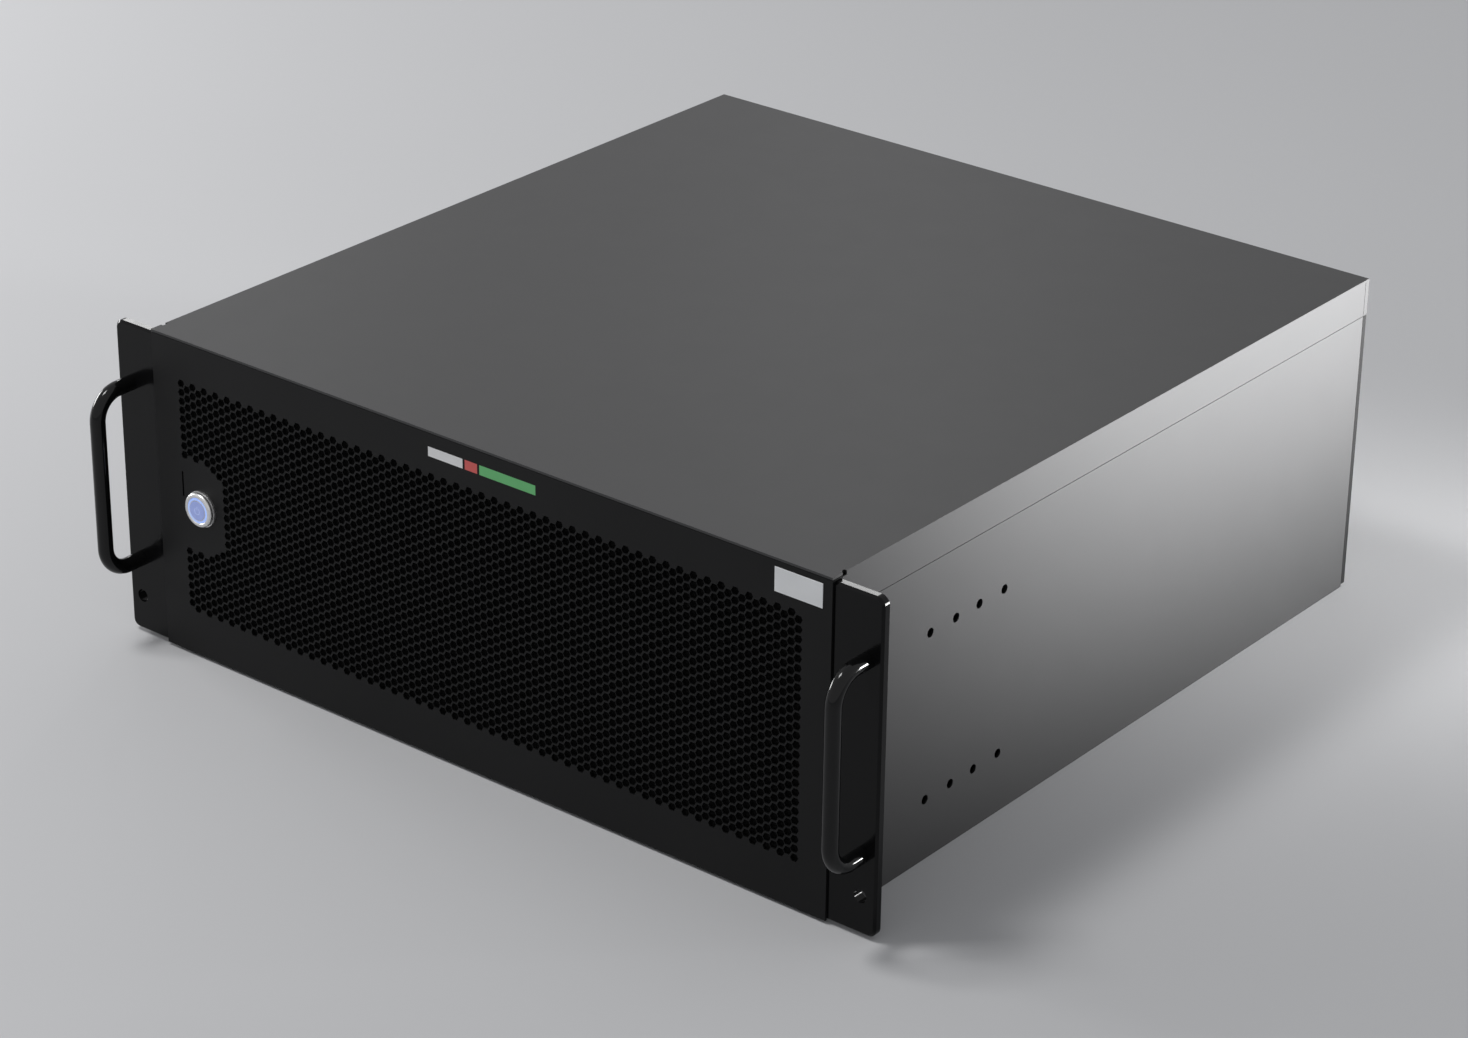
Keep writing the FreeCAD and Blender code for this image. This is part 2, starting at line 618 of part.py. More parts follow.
def front_panel():
    """Folded front sheet with hexagonal perforation, a plain area with the button hole, and a slit."""
    thick = value("wall")
    half = value("body_width") / 2
    low = value("lift")
    high = value("body_height") - thick - value("gap")
    frame = [FreeCAD.Vector(x, 0, z) for x, z in ((-half, low), (half, low), (half, high), (-half, high))]
    outer = Part.makePolygon(frame + frame[:1])
    holes = [hexagon(x, z, 0, value("perf_hole")) for x, z in lattice()]
    button = Part.makeCircle(value("barrel") / 2 + value("screw_fit"),
                             FreeCAD.Vector(value("button_margin") - half, 0, value("button_height")),
                             FreeCAD.Vector(0, 1, 0))
    holes.append(Part.Wire([button]))
    slit_left = value("slit_margin") - half - value("slit_width") / 2
    slit_right = slit_left + value("slit_width")
    slit_low = value("button_height") + value("slit_above")
    slit_high = slit_low + value("slit_length")
    slit = [FreeCAD.Vector(x, 0, z) for x, z in ((slit_left, slit_low), (slit_right, slit_low),
                                                 (slit_right, slit_high), (slit_left, slit_high))]
    holes.append(Part.makePolygon(slit + slit[:1]))
    face = Part.makeFace([outer] + holes, "Part::FaceMakerBullseye")
    plate = face.extrude(FreeCAD.Vector(0, thick, 0))
    inner = half - thick - value("gap")
    ear_back = thick + value("ear_thickness")
    top = Part.makeBox(2 * half, ear_back - thick, thick, FreeCAD.Vector(-half, thick, high - thick))
    foot = Part.makeBox(2 * inner, value("return_depth"), thick, FreeCAD.Vector(-inner, thick, low))
    formed("front_panel", plate.fuse([top, foot]).removeSplitter())


def rack_ear(side, sign):
    """Thick chamfered plate with a rack hole, its tongue screwed to the tray behind the front panel."""
    body = new_body(f"ear_{side}")

    def across(x):
        return f"{sign} * ({x})"

    plate = [(across(x), z) for x, z in rectangle(HALF, f"{HALF} + ear_width", "lift", "ear_top")]
    profile = sketch(body, f"ear_plate_{side}", "XZ_Plane", [plate], offset="-wall")
    base = pad(body, profile, "ear_thickness", towards_back=True)
    joint_plane = value("body_width") / 2
    outer = joint_plane + value("ear_width")
    low, high = value("lift"), value("body_height") - value("ear_drop")

    def is_corner(edge, middle):
        upright = abs(middle.z - low) < 0.01 or abs(middle.z - high) < 0.01
        return abs(abs(middle.x) - outer) < 0.01 and upright

    rounding = body.newObject("PartDesign::Fillet", f"ear_round_{side}")
    rounding.Base = (base, edge_names(base.Shape, is_corner))
    rounding.setExpression("Radius", bound("ear_round"))
    doc.recompute()
    front = value("wall")
    back = front + value("ear_thickness")

    def is_rim(edge, middle):
        on_face = abs(middle.y - front) < 0.01 or abs(middle.y - back) < 0.01
        return on_face and abs(abs(middle.x) - joint_plane) > 0.01

    edging = body.newObject("PartDesign::Chamfer", f"ear_edge_{side}")
    edging.Base = (rounding, edge_names(rounding.Shape, is_rim))
    edging.setExpression("Size", bound("ear_chamfer"))
    doc.recompute()
    behind = [(across(x), z) for x, z in rectangle(f"{HALF} - tongue", f"{HALF} + ear_chamfer",
                                                   "tongue_low", "tongue_high")]
    tongue = sketch(body, f"ear_tongue_{side}", "XZ_Plane", [behind], offset="-wall")
    pad(body, tongue, "ear_thickness", towards_back=True)
    holes = [(across("rack_hole_across"), "rack_hole_height", "rack_hole")]
    hole = "screw_bar + screw_fit"
    holes += [(across("rack_hole_across"), z, hole) for z in ("handle_low", "handle_high")]
    holes += [(across(f"{HALF} - tongue / 2 - wall / 2"), z, hole) for z in EAR_SCREW_HEIGHTS]
    pocket_through(body, sketch(body, f"ear_holes_{side}", "XZ_Plane", circles=holes))
    sinks = []
    for name, height in (("low", "handle_low"), ("high", "handle_high")):
        cone = doc.addObject("Part::Cone", f"ear_sink_{side}_{name}")
        place(cone, across("rack_hole_across"), f"{EAR_BACK} - head_height", height, turn=Y_AXIS)
        cone.setExpression("Radius1", bound("(screw_bar + screw_fit) / 2"))
        cone.setExpression("Radius2", bound("(screw_head + screw_fit) / 2"))
        cone.setExpression("Height", bound("head_height"))
        sinks.append(cone)
    subpart(f"{side}_ear", cut(f"ear_sunk_{side}", body, sinks))


def handle(side, sign):
    """Bow of round bar: two legs on the ear, two bends and a grip, with a threaded bore in each leg."""
    x = f"{sign} * rack_hole_across"
    bend_y = "handle_bend - handle_reach"
    pieces = []
    for name, height, up in (("low", "handle_low", -1), ("high", "handle_high", 1)):
        pieces.append(rod(f"leg_{side}_{name}", "handle_bar", (x, bend_y, height), f"wall - ({bend_y})"))
        ring = doc.addObject("Part::Torus", f"bend_{side}_{name}")
        turn = FreeCAD.Rotation(FreeCAD.Vector(0, 0, up), FreeCAD.Vector(0, -1, 0),
                                FreeCAD.Vector(up, 0, 0), "XYZ")
        place(ring, x, bend_y, f"{height} - {up} * handle_bend", turn=turn)
        ring.setExpression("Radius1", bound("handle_bend"))
        ring.setExpression("Radius2", bound("handle_bar / 2"))
        ring.Angle3 = 90
        pieces.append(ring)
    pieces.append(rod(f"grip_{side}", "handle_bar", (x, "-handle_reach", "handle_low + handle_bend"),
                      "handle_high - handle_low - 2 * handle_bend", turn=Z_AXIS))
    bar = join(f"bow_{side}", pieces)
    bores = [rod(f"bore_{side}_{name}", "screw_bar + screw_fit", (x, "wall - screw_length", height),
                 "screw_length + wall")
             for name, height in (("low", "handle_low"), ("high", "handle_high"))]
    subpart(f"{side}_handle", cut(f"bow_bored_{side}", bar, bores))


def ear_screws():
    """Countersunk screws that hold the handles, and cheese-head screws that hold the ears to the tray."""
    screws = []
    for sign in (-1, 1):
        for name, height in (("low", "handle_low"), ("high", "handle_high")):
            label = f"{'left' if sign < 0 else 'right'}_{name}"
            x = f"{sign} * rack_hole_across"
            head = doc.addObject("Part::Cone", f"sunk_head_{label}")
            place(head, x, f"{EAR_BACK} - head_height", height, turn=Y_AXIS)
            head.setExpression("Radius1", bound("screw_bar / 2"))
            head.setExpression("Radius2", bound("screw_head / 2"))
            head.setExpression("Height", bound("head_height"))
            start = "wall - screw_length + screw_bar / 2"
            shank = rod(f"sunk_shank_{label}", "screw_bar", (x, start, height),
                        f"{EAR_BACK} - head_height - ({start})")
            screws.append(join(f"sunk_screw_{label}", [head, shank]))
        for number, height in enumerate(EAR_SCREW_HEIGHTS):
            x = f"{sign} * ({HALF} - tongue / 2 - wall / 2)"
            label = f"{'left' if sign < 0 else 'right'}_{number}"
            head = prism(f"hex_head_{label}", "screw_head", (x, f"{EAR_BACK} + wall", height),
                         "head_height", Y_AXIS)
            shank = rod(f"hex_shank_{label}", "screw_bar", (x, "wall + gap", height), f"{EAR_BACK} - gap")
            screws.append(join(f"hex_screw_{label}", [head, shank]))
    subpart("ear_screws", group("ear_screw_set", screws))


# Power button

def turned(label, corners, rounding=None):
    """A turned piece on an axis that points out of the front panel; corners are (radius, height)."""
    body = new_body(label + "_body")
    whole = revolve(body, sketch(body, label + "_section", "XZ_Plane", [corners]))
    if rounding:
        rim, radius = rounding

        def is_rim(edge, middle):
            across = math.hypot(middle.x, middle.y)
            return abs(across - value(rim) / 2) < 0.01 and abs(middle.z - value("bezel_height")) < 0.01

        fillet = body.newObject("PartDesign::Fillet", label + "_round")
        fillet.Base = (whole, edge_names(whole.Shape, is_rim))
        fillet.setExpression("Radius", bound(radius))
        doc.recompute()
    place(body, "button_across", "0", "button_height", turn=OUTWARDS)
    subpart(label, body)


def power_button():
    """Housing with a stepped bezel and a blind bore, lit ring, hexagonal nut and the moving cap."""
    bore = "cap / 2 + cap_fit"
    floor = "cap_out - 12.5"
    turned("button_housing", [
        ("0", "-barrel_length"), ("barrel / 2", "-barrel_length"), ("barrel / 2", "0"), ("bezel / 2", "0"),
        ("bezel / 2", "bezel_foot"), ("bezel_dome / 2 - bezel_groove", "bezel_foot"),
        ("bezel_dome / 2 - bezel_groove", "bezel_foot + bezel_groove"),
        ("bezel_dome / 2", "bezel_foot + bezel_groove"), ("bezel_dome / 2", "bezel_height"),
        ("ring_outer / 2 + 0.5", "bezel_height"), ("ring_outer / 2 + 0.1", "bezel_height - 0.4"),
        ("ring_outer / 2 + 0.1", "bezel_height - 1.6"), ("ring_inner / 2 - 0.1", "bezel_height - 1.6"),
        ("ring_inner / 2 - 0.1", "bezel_height - 0.2"), (bore, "bezel_height - 0.2"), (bore, floor),
        ("0", floor)],
        rounding=("bezel_dome", "bezel_round"))
    turned("button_ring", [
        ("ring_inner / 2", "bezel_height - 1.6"), ("ring_outer / 2", "bezel_height - 1.6"),
        ("ring_outer / 2", "bezel_height - 0.3"), ("ring_inner / 2", "bezel_height - 0.3")])
    turned("button_cap", [
        ("0", "cap_out - 10"), ("cap / 2", "cap_out - 10"), ("cap / 2", "cap_out - 0.3"),
        ("cap / 2 - 0.3", "cap_out"), ("0", "cap_out")])
    nut = prism("nut_hexagon", "barrel + 4", ("button_across", "wall", "button_height"), "4", Y_AXIS)
    thread = rod("nut_thread", "barrel + screw_fit", ("button_across", "0", "button_height"), "8")
    subpart("button_nut", cut("nut_bored", nut, [thread]))


# Dust filter

def filter_outline(inset):
    """Outline of the filter, which goes round the button's plain area."""
    left = f"-filter_half + ({inset})"
    right = f"filter_half - ({inset})"
    low = f"filter_low + ({inset})"
    high = f"filter_high - ({inset})"
    notch_low = f"plain_low - ({inset})"
    notch_high = f"plain_high + ({inset})"
    notch_right = f"plain_right + ({inset})"
    return [(left, low), (right, low), (right, high), (left, high), (left, notch_high),
            (notch_right, notch_high), (notch_right, notch_low), (left, notch_low)]


def dust_filter():
    frame = new_body("filter_ring")
    ring = sketch(frame, "filter_ring_section", "XZ_Plane",
                  [filter_outline("0"), filter_outline("filter_bar")],
                  offset="-wall")
    pad(frame, ring, "filter_depth", towards_back=True)
    subpart("filter_frame", frame)
    foam = new_body("filter_foam")
    mat = sketch(foam, "filter_foam_section", "XZ_Plane", [filter_outline("filter_bar + gap")],
                 offset="-(wall + gap)")
    pad(foam, mat, "foam_depth", towards_back=True)
    subpart("dust_filter", foam)


# Fans

FANS = {"left": "-fan_pitch", "middle": "0", "right": "fan_pitch"}


def fan_wall():
    """Upright sheet across the chassis with a round opening for each fan and a folded foot and head."""
    body = new_body("fan_sheet")
    outline = rectangle("-fan_wall_half", "fan_wall_half", "wall", "fan_wall_top")
    holes = [(x, "fan_height", "fan_duct") for x in FANS.values()]
    plate = sketch(body, "fan_plate", "XZ_Plane", [outline], holes, offset="-fan_wall_front")
    pad(body, plate, "wall", towards_back=True)
    feet = [rectangle("-fan_wall_half", "fan_wall_half", "wall", "2 * wall"),
            rectangle("-fan_wall_half", "fan_wall_half", "fan_wall_top - wall", "fan_wall_top")]
    folds = sketch(body, "fan_folds", "XZ_Plane", feet, offset="-fan_wall_front")
    pad(body, folds, "fan_wall_foot", towards_back=True)
    subpart("fan_wall", body)


def fan_frame(side, x):
    """Square frame with a round duct, four struts and a bearing tube."""
    half = "fan_size / 2"
    shell = block(f"fan_shell_{side}", (f"{x} - {half}", f"{x} + {half}"), (FAN_FRONT, FAN_BACK),
                  (f"fan_height - {half}", f"fan_height + {half}"))
    duct = rod(f"fan_duct_{side}", "fan_duct", (x, f"{FAN_FRONT} - wall", "fan_height"),
               "fan_depth + 2 * wall")
    ring = cut(f"fan_ring_{side}", shell, [duct])
    back = (f"{FAN_BACK} - fan_back", FAN_BACK)
    inside = "fan_duct / 2 + 0.5"
    flat = block(f"fan_strut_flat_{side}", (f"{x} - ({inside})", f"{x} + {inside}"), back,
                 ("fan_height - fan_strut / 2", "fan_height + fan_strut / 2"))
    upright = block(f"fan_strut_upright_{side}", (f"{x} - fan_strut / 2", f"{x} + fan_strut / 2"), back,
                    (f"fan_height - ({inside})", f"fan_height + {inside}"))
    plate = rod(f"fan_plate_{side}", "fan_hub", (x, back[0], "fan_height"), "fan_back")
    tube = rod(f"fan_tube_{side}", "3 * fan_shaft", (x, f"{FAN_FRONT} + 12", "fan_height"),
               "fan_depth - 12")
    solid = join(f"fan_carrier_{side}", [ring, flat, upright, plate, tube])
    bore = rod(f"fan_bore_{side}", "fan_shaft + 2 * shaft_fit", (x, f"{FAN_FRONT} + 6", "fan_height"),
               "fan_depth")
    subpart(f"fan_frame_{side}", cut(f"fan_housing_{side}", solid, [bore]))


def blade(root, tip, chord, thickness, front, back, twist):
    """A fan blade between two radii, pitched more steeply at its root than at its tip."""
    sections = []
    for radius, share in ((root, 1.0), (tip, twist)):
        lean = chord * share
        corners = [FreeCAD.Vector(-lean / 2, front, radius),
                   FreeCAD.Vector(-lean / 2 + thickness, front, radius),
                   FreeCAD.Vector(lean / 2 + thickness, back, radius),
                   FreeCAD.Vector(lean / 2, back, radius)]
        sections.append(Part.makePolygon(corners + corners[:1]))
    return Part.makeLoft(sections, True, True)


def rotor_wings(hub, tip, depth, sink, blades, chord, thickness):
    """Pitched blades round the Y axis, each sunk a little into the hub."""
    wing = blade(hub / 2 - sink, tip / 2, chord, thickness, 0.04 * depth, 0.96 * depth, 1.4)
    wings = []
    for number in range(blades):
        copy = wing.copy()
        copy.rotate(FreeCAD.Vector(0, 0, 0), FreeCAD.Vector(0, 1, 0), 360.0 * number / blades)
        wings.append(copy)
    return wings


def fan_rotor(side, x):
    """Rotor with a hollow hub, a shaft in the frame's bearing tube and pitched blades."""
    hub, tip, cup = value("fan_hub"), value("fan_tip"), value("rotor_cup")
    depth = value("fan_depth") - value("rotor_front") - value("fan_back") - value("rotor_back")
    axis = FreeCAD.Vector(0, 1, 0)
    spot = FreeCAD.Vector(0, 0, 0)
    solid = Part.makeCylinder(hub / 2, depth, spot, axis)
    wings = rotor_wings(hub, tip, depth, cup / 2, 7, value("blade_chord"), value("blade_thick"))
    solid = solid.fuse(wings)
    solid = solid.cut(Part.makeCylinder(hub / 2 - cup, depth, FreeCAD.Vector(0, cup, 0), axis))
    shaft_length = value("fan_depth") - value("rotor_front") - cup
    shaft = Part.makeCylinder(value("fan_shaft") / 2, shaft_length, FreeCAD.Vector(0, cup / 2, 0), axis)
    solid = solid.fuse(shaft).common(Part.makeCylinder(tip / 2, 2 * depth, FreeCAD.Vector(0, -1, 0), axis))
    formed(f"fan_rotor_{side}", solid.removeSplitter(), x, f"{FAN_FRONT} + rotor_front", "fan_height")


def fans():
    fan_wall()
    for side, x in FANS.items():
        fan_frame(side, x)
        fan_rotor(side, x)


# Motherboard with what is plugged into it

def motherboard():
    right = "board_left + board_width"
    front = f"{BOARD_BACK} - board_length"
    board = block("board", ("board_left", right), (front, BOARD_BACK), ("wall + standoff", BOARD_TOP))
    subpart("motherboard", board, front)
    columns = ["board_left + board_edge", "board_left + board_width / 2", f"{right} - board_edge"]
    rows = [f"{front} + board_edge", f"{front} + board_length / 2", f"{BOARD_BACK} - board_edge"]
    posts = [prism(f"post_{i}_{k}", "standoff_flat", (x, y, "wall"), "standoff")
             for i, x in enumerate(columns) for k, y in enumerate(rows)]
    subpart("board_standoffs", group("posts", posts))


def centred(middle, size):
    return (f"{middle} - {size} / 2", f"{middle} + {size} / 2")


def processor():
    """Socket, processor and finned heatsink, stacked on the board."""
    x, y = "processor_across", "processor_back"
    top = BOARD_TOP
    frame = block("socket_block", centred(x, "socket_width"), centred(y, "socket_length"),
                  (top, f"{top} + socket_height"))
    seat = block("socket_seat", centred(x, "(chip_width + 2 * gap)"), centred(y, "(chip_length + 2 * gap)"),
                 (f"{top} + socket_height / 2", f"{top} + 2 * socket_height"))
    subpart("processor_socket", cut("socket_open", frame, [seat]))
    chip_top = f"{top} + socket_height + chip_height"
    chip_y = centred(y, "chip_length")
    chip = block("chip", centred(x, "chip_width"), chip_y, (f"{top} + socket_height / 2", chip_top))
    subpart("processor", chip, chip_y[0])
    base = block("sink_plate", centred(x, "sink_width"), centred(y, "sink_length"),
                 (chip_top, f"{chip_top} + sink_base"))
    count = int((value("sink_width") - value("fin_thick")) // value("fin_pitch"))
    fins = [base]
    for number in range(count + 1):
        middle = f"{x} + ({number} - {count} / 2) * fin_pitch"
        fins.append(block(f"sink_fin_{number}", centred(middle, "fin_thick"), centred(y, "sink_length"),
                          (f"{chip_top} + sink_base / 2", f"{chip_top} + sink_height")))
    subpart("heatsink", join("sink", fins))


def memory():
    """Slots beside the processor, each with its module in the groove."""
    slots, modules = [], []
    y = "processor_back"
    for side in (-1, 1):
        for number in range(3):
            x = f"processor_across + {side} * (memory_offset + {number} * memory_pitch)"
            label = f"{'left' if side < 0 else 'right'}_{number}"
            top = f"{BOARD_TOP} + memory_socket_height"
            body = block(f"memory_body_{label}", centred(x, "memory_socket_width"),
                         centred(y, "(memory_length + 8)"),
                         (BOARD_TOP, top))
            groove = block(f"memory_groove_{label}", centred(x, "(memory_thick + gap)"),
                           centred(y, "(memory_length + 2 * gap)"),
                           (f"{top} - memory_seat", f"{top} + wall"))
            slots.append(cut(f"memory_slot_{label}", body, [groove]))
            bottom = f"{top} - memory_seat"
            modules.append(block(f"memory_module_{label}", centred(x, "memory_thick"),
                                 centred(y, "memory_length"),
                                 (bottom, f"{bottom} + memory_height")))
    subpart("memory_slots", group("memory_slot_set", slots))
    subpart("memory_modules", group("memory_module_set", modules))


def card_x(number):
    """Middle of a graphics card's board, in every second slot."""
    return f"slot_first + {2 * number} * slot_pitch"


def expansion_slots():
    back = f"{CARD_BACK} - card_slot_back"
    front = f"{back} - card_slot_length"
    slots = []
    for number in range(CARDS):
        body = block(f"card_slot_body_{number}", centred(card_x(number), "card_slot_width"), (front, back),
                     (BOARD_TOP, SLOT_TOP))
        groove = block(f"card_slot_groove_{number}", centred(card_x(number), "(card_thick + gap)"),
                       (f"{front} + wall", f"{back} - wall"),
                       (f"{SLOT_TOP} - card_seat", f"{SLOT_TOP} + wall"))
        slots.append(cut(f"card_slot_{number}", body, [groove]))
    subpart("expansion_slots", group("card_slot_set", slots))


POWER_SOCKETS = {"main": ("main_plug_place", "main_plug_width"),
                 "left": ("side_plug_place", "side_plug_width"),
                 "right": ("side_plug_place + side_plug_step", "side_plug_width")}


def power_sockets():
    """The board's power sockets near its front edge."""
    front = f"{BOARD_BACK} - board_length + plug_edge"
    sockets = []
    for name, (place_on_board, width) in POWER_SOCKETS.items():
        x = f"board_left + {place_on_board}"
        body = block(f"power_body_{name}", centred(x, width), (front, f"{front} + plug_depth"),
                     (BOARD_TOP, f"{BOARD_TOP} + plug_height"))
        hollow = block(f"power_hollow_{name}", centred(x, f"({width} - 2 * plug_wall)"),
                       (f"{front} + plug_wall", f"{front} + plug_depth - plug_wall"),
                       (f"{BOARD_TOP} + 3 * plug_wall", f"{BOARD_TOP} + plug_height + plug_wall"))
        sockets.append(cut(f"power_socket_{name}", body, [hollow]))
    subpart("board_power_sockets", group("power_socket_set", sockets))


PORTS = {"video": ("video_place", "video_width", "video_height"),
         "serial_pair": ("serial_place", "serial_width", "serial_height"),
         "serial_second": ("serial_place + serial_step", "serial_width", "serial_height"),
         "network": ("network_place", "network_width", "network_height"),
         "network_second": ("network_place + network_step", "network_width", "network_height")}


def rear_ports():
    """Connectors on the board's rear edge, looking out through the port shield."""
    ports, windows = [], []
    back = f"{ZONE_BACK} + gap"
    for name, (middle, width, height) in PORTS.items():
        x = f"ports_left + {middle}"
        shell = block(f"port_body_{name}", centred(x, width), (f"{BOARD_BACK} - port_depth", back),
                      (BOARD_TOP, f"{BOARD_TOP} + {height}"))
        hollow = block(f"port_hollow_{name}", centred(x, f"({width} - 2 * port_wall)"),
                       (f"{BOARD_BACK} - port_depth + 4 * port_wall", f"{back} + wall"),
                       (f"{BOARD_TOP} + port_wall", f"{BOARD_TOP} + {height} - port_wall"))
        ports.append(cut(f"port_{name}", shell, [hollow]))
        windows.append(block(f"port_cut_{name}", centred(x, f"({width} + 2 * gap)"),
                             (f"{ZONE_FACE} - 3 * wall", ZONE_BACK),
                             (f"{BOARD_TOP} - gap", f"{BOARD_TOP} + {height} + gap")))
    subpart("rear_ports", group("port_set", ports))
    plate = block("shield_plate", ("ports_left + gap - 3", "ports_left + ports_width + 3"),
                  (f"{ZONE_FACE} - 2 * gap", ZONE_FACE), ("ports_low - 2", "ports_low + ports_height + 3"))
    boss = block("shield_boss", ("ports_left + gap", "ports_left + ports_width - gap"),
                 (f"{ZONE_FACE} - 2 * gap", f"{ZONE_BACK} - 2 * gap"),
                 ("ports_low + gap", "ports_low + ports_height - gap"))
    subpart("port_shield", cut("shield", join("shield_pressed", [plate, boss]), windows))


def graphics_card(number):
    """Dual-slot card: circuit board with its edge in the slot, finned cooler, bracket on the ledge."""
    x = card_x(number)
    front = f"{CARD_BACK} - card_length"
    low = f"{SLOT_TOP} + gap"
    sheet_of_board = block(f"card_{number}_plate", centred(x, "card_thick"), (front, CARD_BACK),
                           (low, "card_top"))
    slot_back = f"{CARD_BACK} - card_slot_back"
    edge = block(f"card_{number}_edge", centred(x, "card_thick"),
                 (f"{slot_back} - card_slot_length + wall + gap", f"{slot_back} - wall - gap"),
                 (f"{SLOT_TOP} - card_seat", f"{low} + wall"))
    subpart(f"card_{number + 1}_board", join(f"card_{number}_circuit", [sheet_of_board, edge]))

    inside = f"{x} + card_thick / 2"
    outside = f"{inside} + cooler_width"
    along = (f"{front} + 2 * wall", f"{CARD_BACK} - 2 * gap")
    tall = (f"{low} + 2 * wall", "card_top - gap")
    shell = block(f"cooler_{number}_shell", (inside, outside), along, tall)
    hollow = block(f"cooler_{number}_hollow", (f"{inside} + cooler_wall", f"{outside} - cooler_wall"),
                   (f"{along[0]} - wall", f"{along[1]} + wall"),
                   (f"{tall[0]} + cooler_wall", f"{tall[1]} - cooler_wall"))
    cover = cut(f"cooler_{number}_cover", shell, [hollow])
    pieces = [cover]
    for fin in range(7):
        height = f"{tall[0]} + {fin + 1} * cooler_fin_pitch"
        pieces.append(block(f"cooler_{number}_fin_{fin}",
                            (f"{inside} + cooler_wall / 2", f"{outside} - cooler_wall / 2"),
                            (f"{along[0]} + 10", f"{along[1]} - 6"), centred(height, "cooler_fin")))
    subpart(f"card_{number + 1}_cooler", join(f"cooler_{number}", pieces))

    left = f"{x} - 4"
    right = f"{left} + bracket_width"
    plate = block(f"bracket_{number}_plate", (left, right), (CARD_BACK, ZONE_FACE),
                  ("slot_low - 6", "zone_high"))
    tab = block(f"bracket_{number}_tab", (left, right), (CARD_BACK, "body_depth - wall - 1"),
                ("zone_high", "zone_high + bracket_thick"))
    folded = join(f"bracket_{number}_folded", [plate, tab])
    vents = []
    for slot in (0, 1):
        middle = f"{x} + {slot} * slot_pitch"
        vents += [block(f"bracket_{number}_vent_{slot}_{row}", (f"{middle} - 3", f"{middle} + 5"),
                        (f"{CARD_BACK} - wall", f"{ZONE_FACE} + wall"),
                        (f"slot_low + {4 + 18 * row}", f"slot_low + {18 + 18 * row}"))
                  for row in range(5)]
    notch = rod(f"bracket_{number}_hole", "screw_bar + screw_fit",
                (f"{x}", f"{ZONE_BACK} + 4", "zone_high - wall"),
                "3 * wall", turn=Z_AXIS)
    subpart(f"card_{number + 1}_bracket", cut(f"bracket_{number}", folded, vents + [notch]))


def slot_screws():
    """Hexagonal screws that hold the card brackets on the ledge."""
    screws = []
    for number in range(CARDS):
        start = (card_x(number), f"{ZONE_BACK} + 4", "zone_high + bracket_thick")
        screws.append(prism(f"slot_screw_{number}", "screw_head", start, "head_height"))
    subpart("slot_screws", group("slot_screw_set", screws))


def card_support():
    """Sheet bar that the front ends of the cards lie against, on two feet."""
    left = "slot_first - 8"
    right = f"slot_first + {2 * CARDS} * slot_pitch - 6"
    back = f"{CARD_BACK} - card_length - gap"
    front = f"{back} - support_thick"
    bar = block("support_bar", (left, right), (front, back), ("card_top - 26", "card_top"))
    lip = block("support_lip", (left, right), (f"{back} - support_depth", back),
                ("card_top - support_thick", "card_top"))
    pieces = [bar, lip]
    for name, x0, x1 in (("left", left, f"{left} + 14"), ("right", f"{right} - 14", right)):
        pieces.append(block(f"support_leg_{name}", (x0, x1), (front, back), ("wall", "card_top - 20")))
        pieces.append(block(f"support_foot_{name}", (x0, x1), (f"{back} - support_depth", back),
                            ("wall", "wall + support_thick")))
    subpart("card_support", join("support", pieces))


# Power supplies

def supply_cage():
    """Two open boxes of thin sheet, one over the other, and the distribution board in front."""
    left = "psu_left - psu_gap"
    right = "psu_left + psu_width + psu_gap"
    along = (f"{PSU_FRONT} - cage_margin", CAGE_BACK)
    outer = block("cage_outer", (f"{left} - cage_wall", f"{right} + cage_wall"), along,
                  (CAGE_LOW, f"{CAGE_TOP} + cage_wall"))
    past = (f"{along[0]} - wall", f"{along[1]} + wall")
    rooms = [block(f"cage_room_{name}", (left, right), past,
                   (f"{low} - psu_gap", f"{low} + psu_height + psu_gap"))
             for name, low in SUPPLY_HEIGHTS.items()]
    subpart("supply_cage", cut("cage", outer, rooms))
    face = f"{PSU_FRONT} - cage_margin - gap"
    board = block("power_plate", (left, right), (f"{face} - board_thick", face), (CAGE_LOW, CAGE_TOP))
    plugs = [block(f"power_plug_{name}", (f"{left} + 12", f"{left} + 62"),
                   (f"{face} - wall", f"{face} + cage_margin"),
                   (f"{low} + 6", f"{low} + 18")) for name, low in SUPPLY_HEIGHTS.items()]
    subpart("power_board", join("power_board_plugs", [board] + plugs))


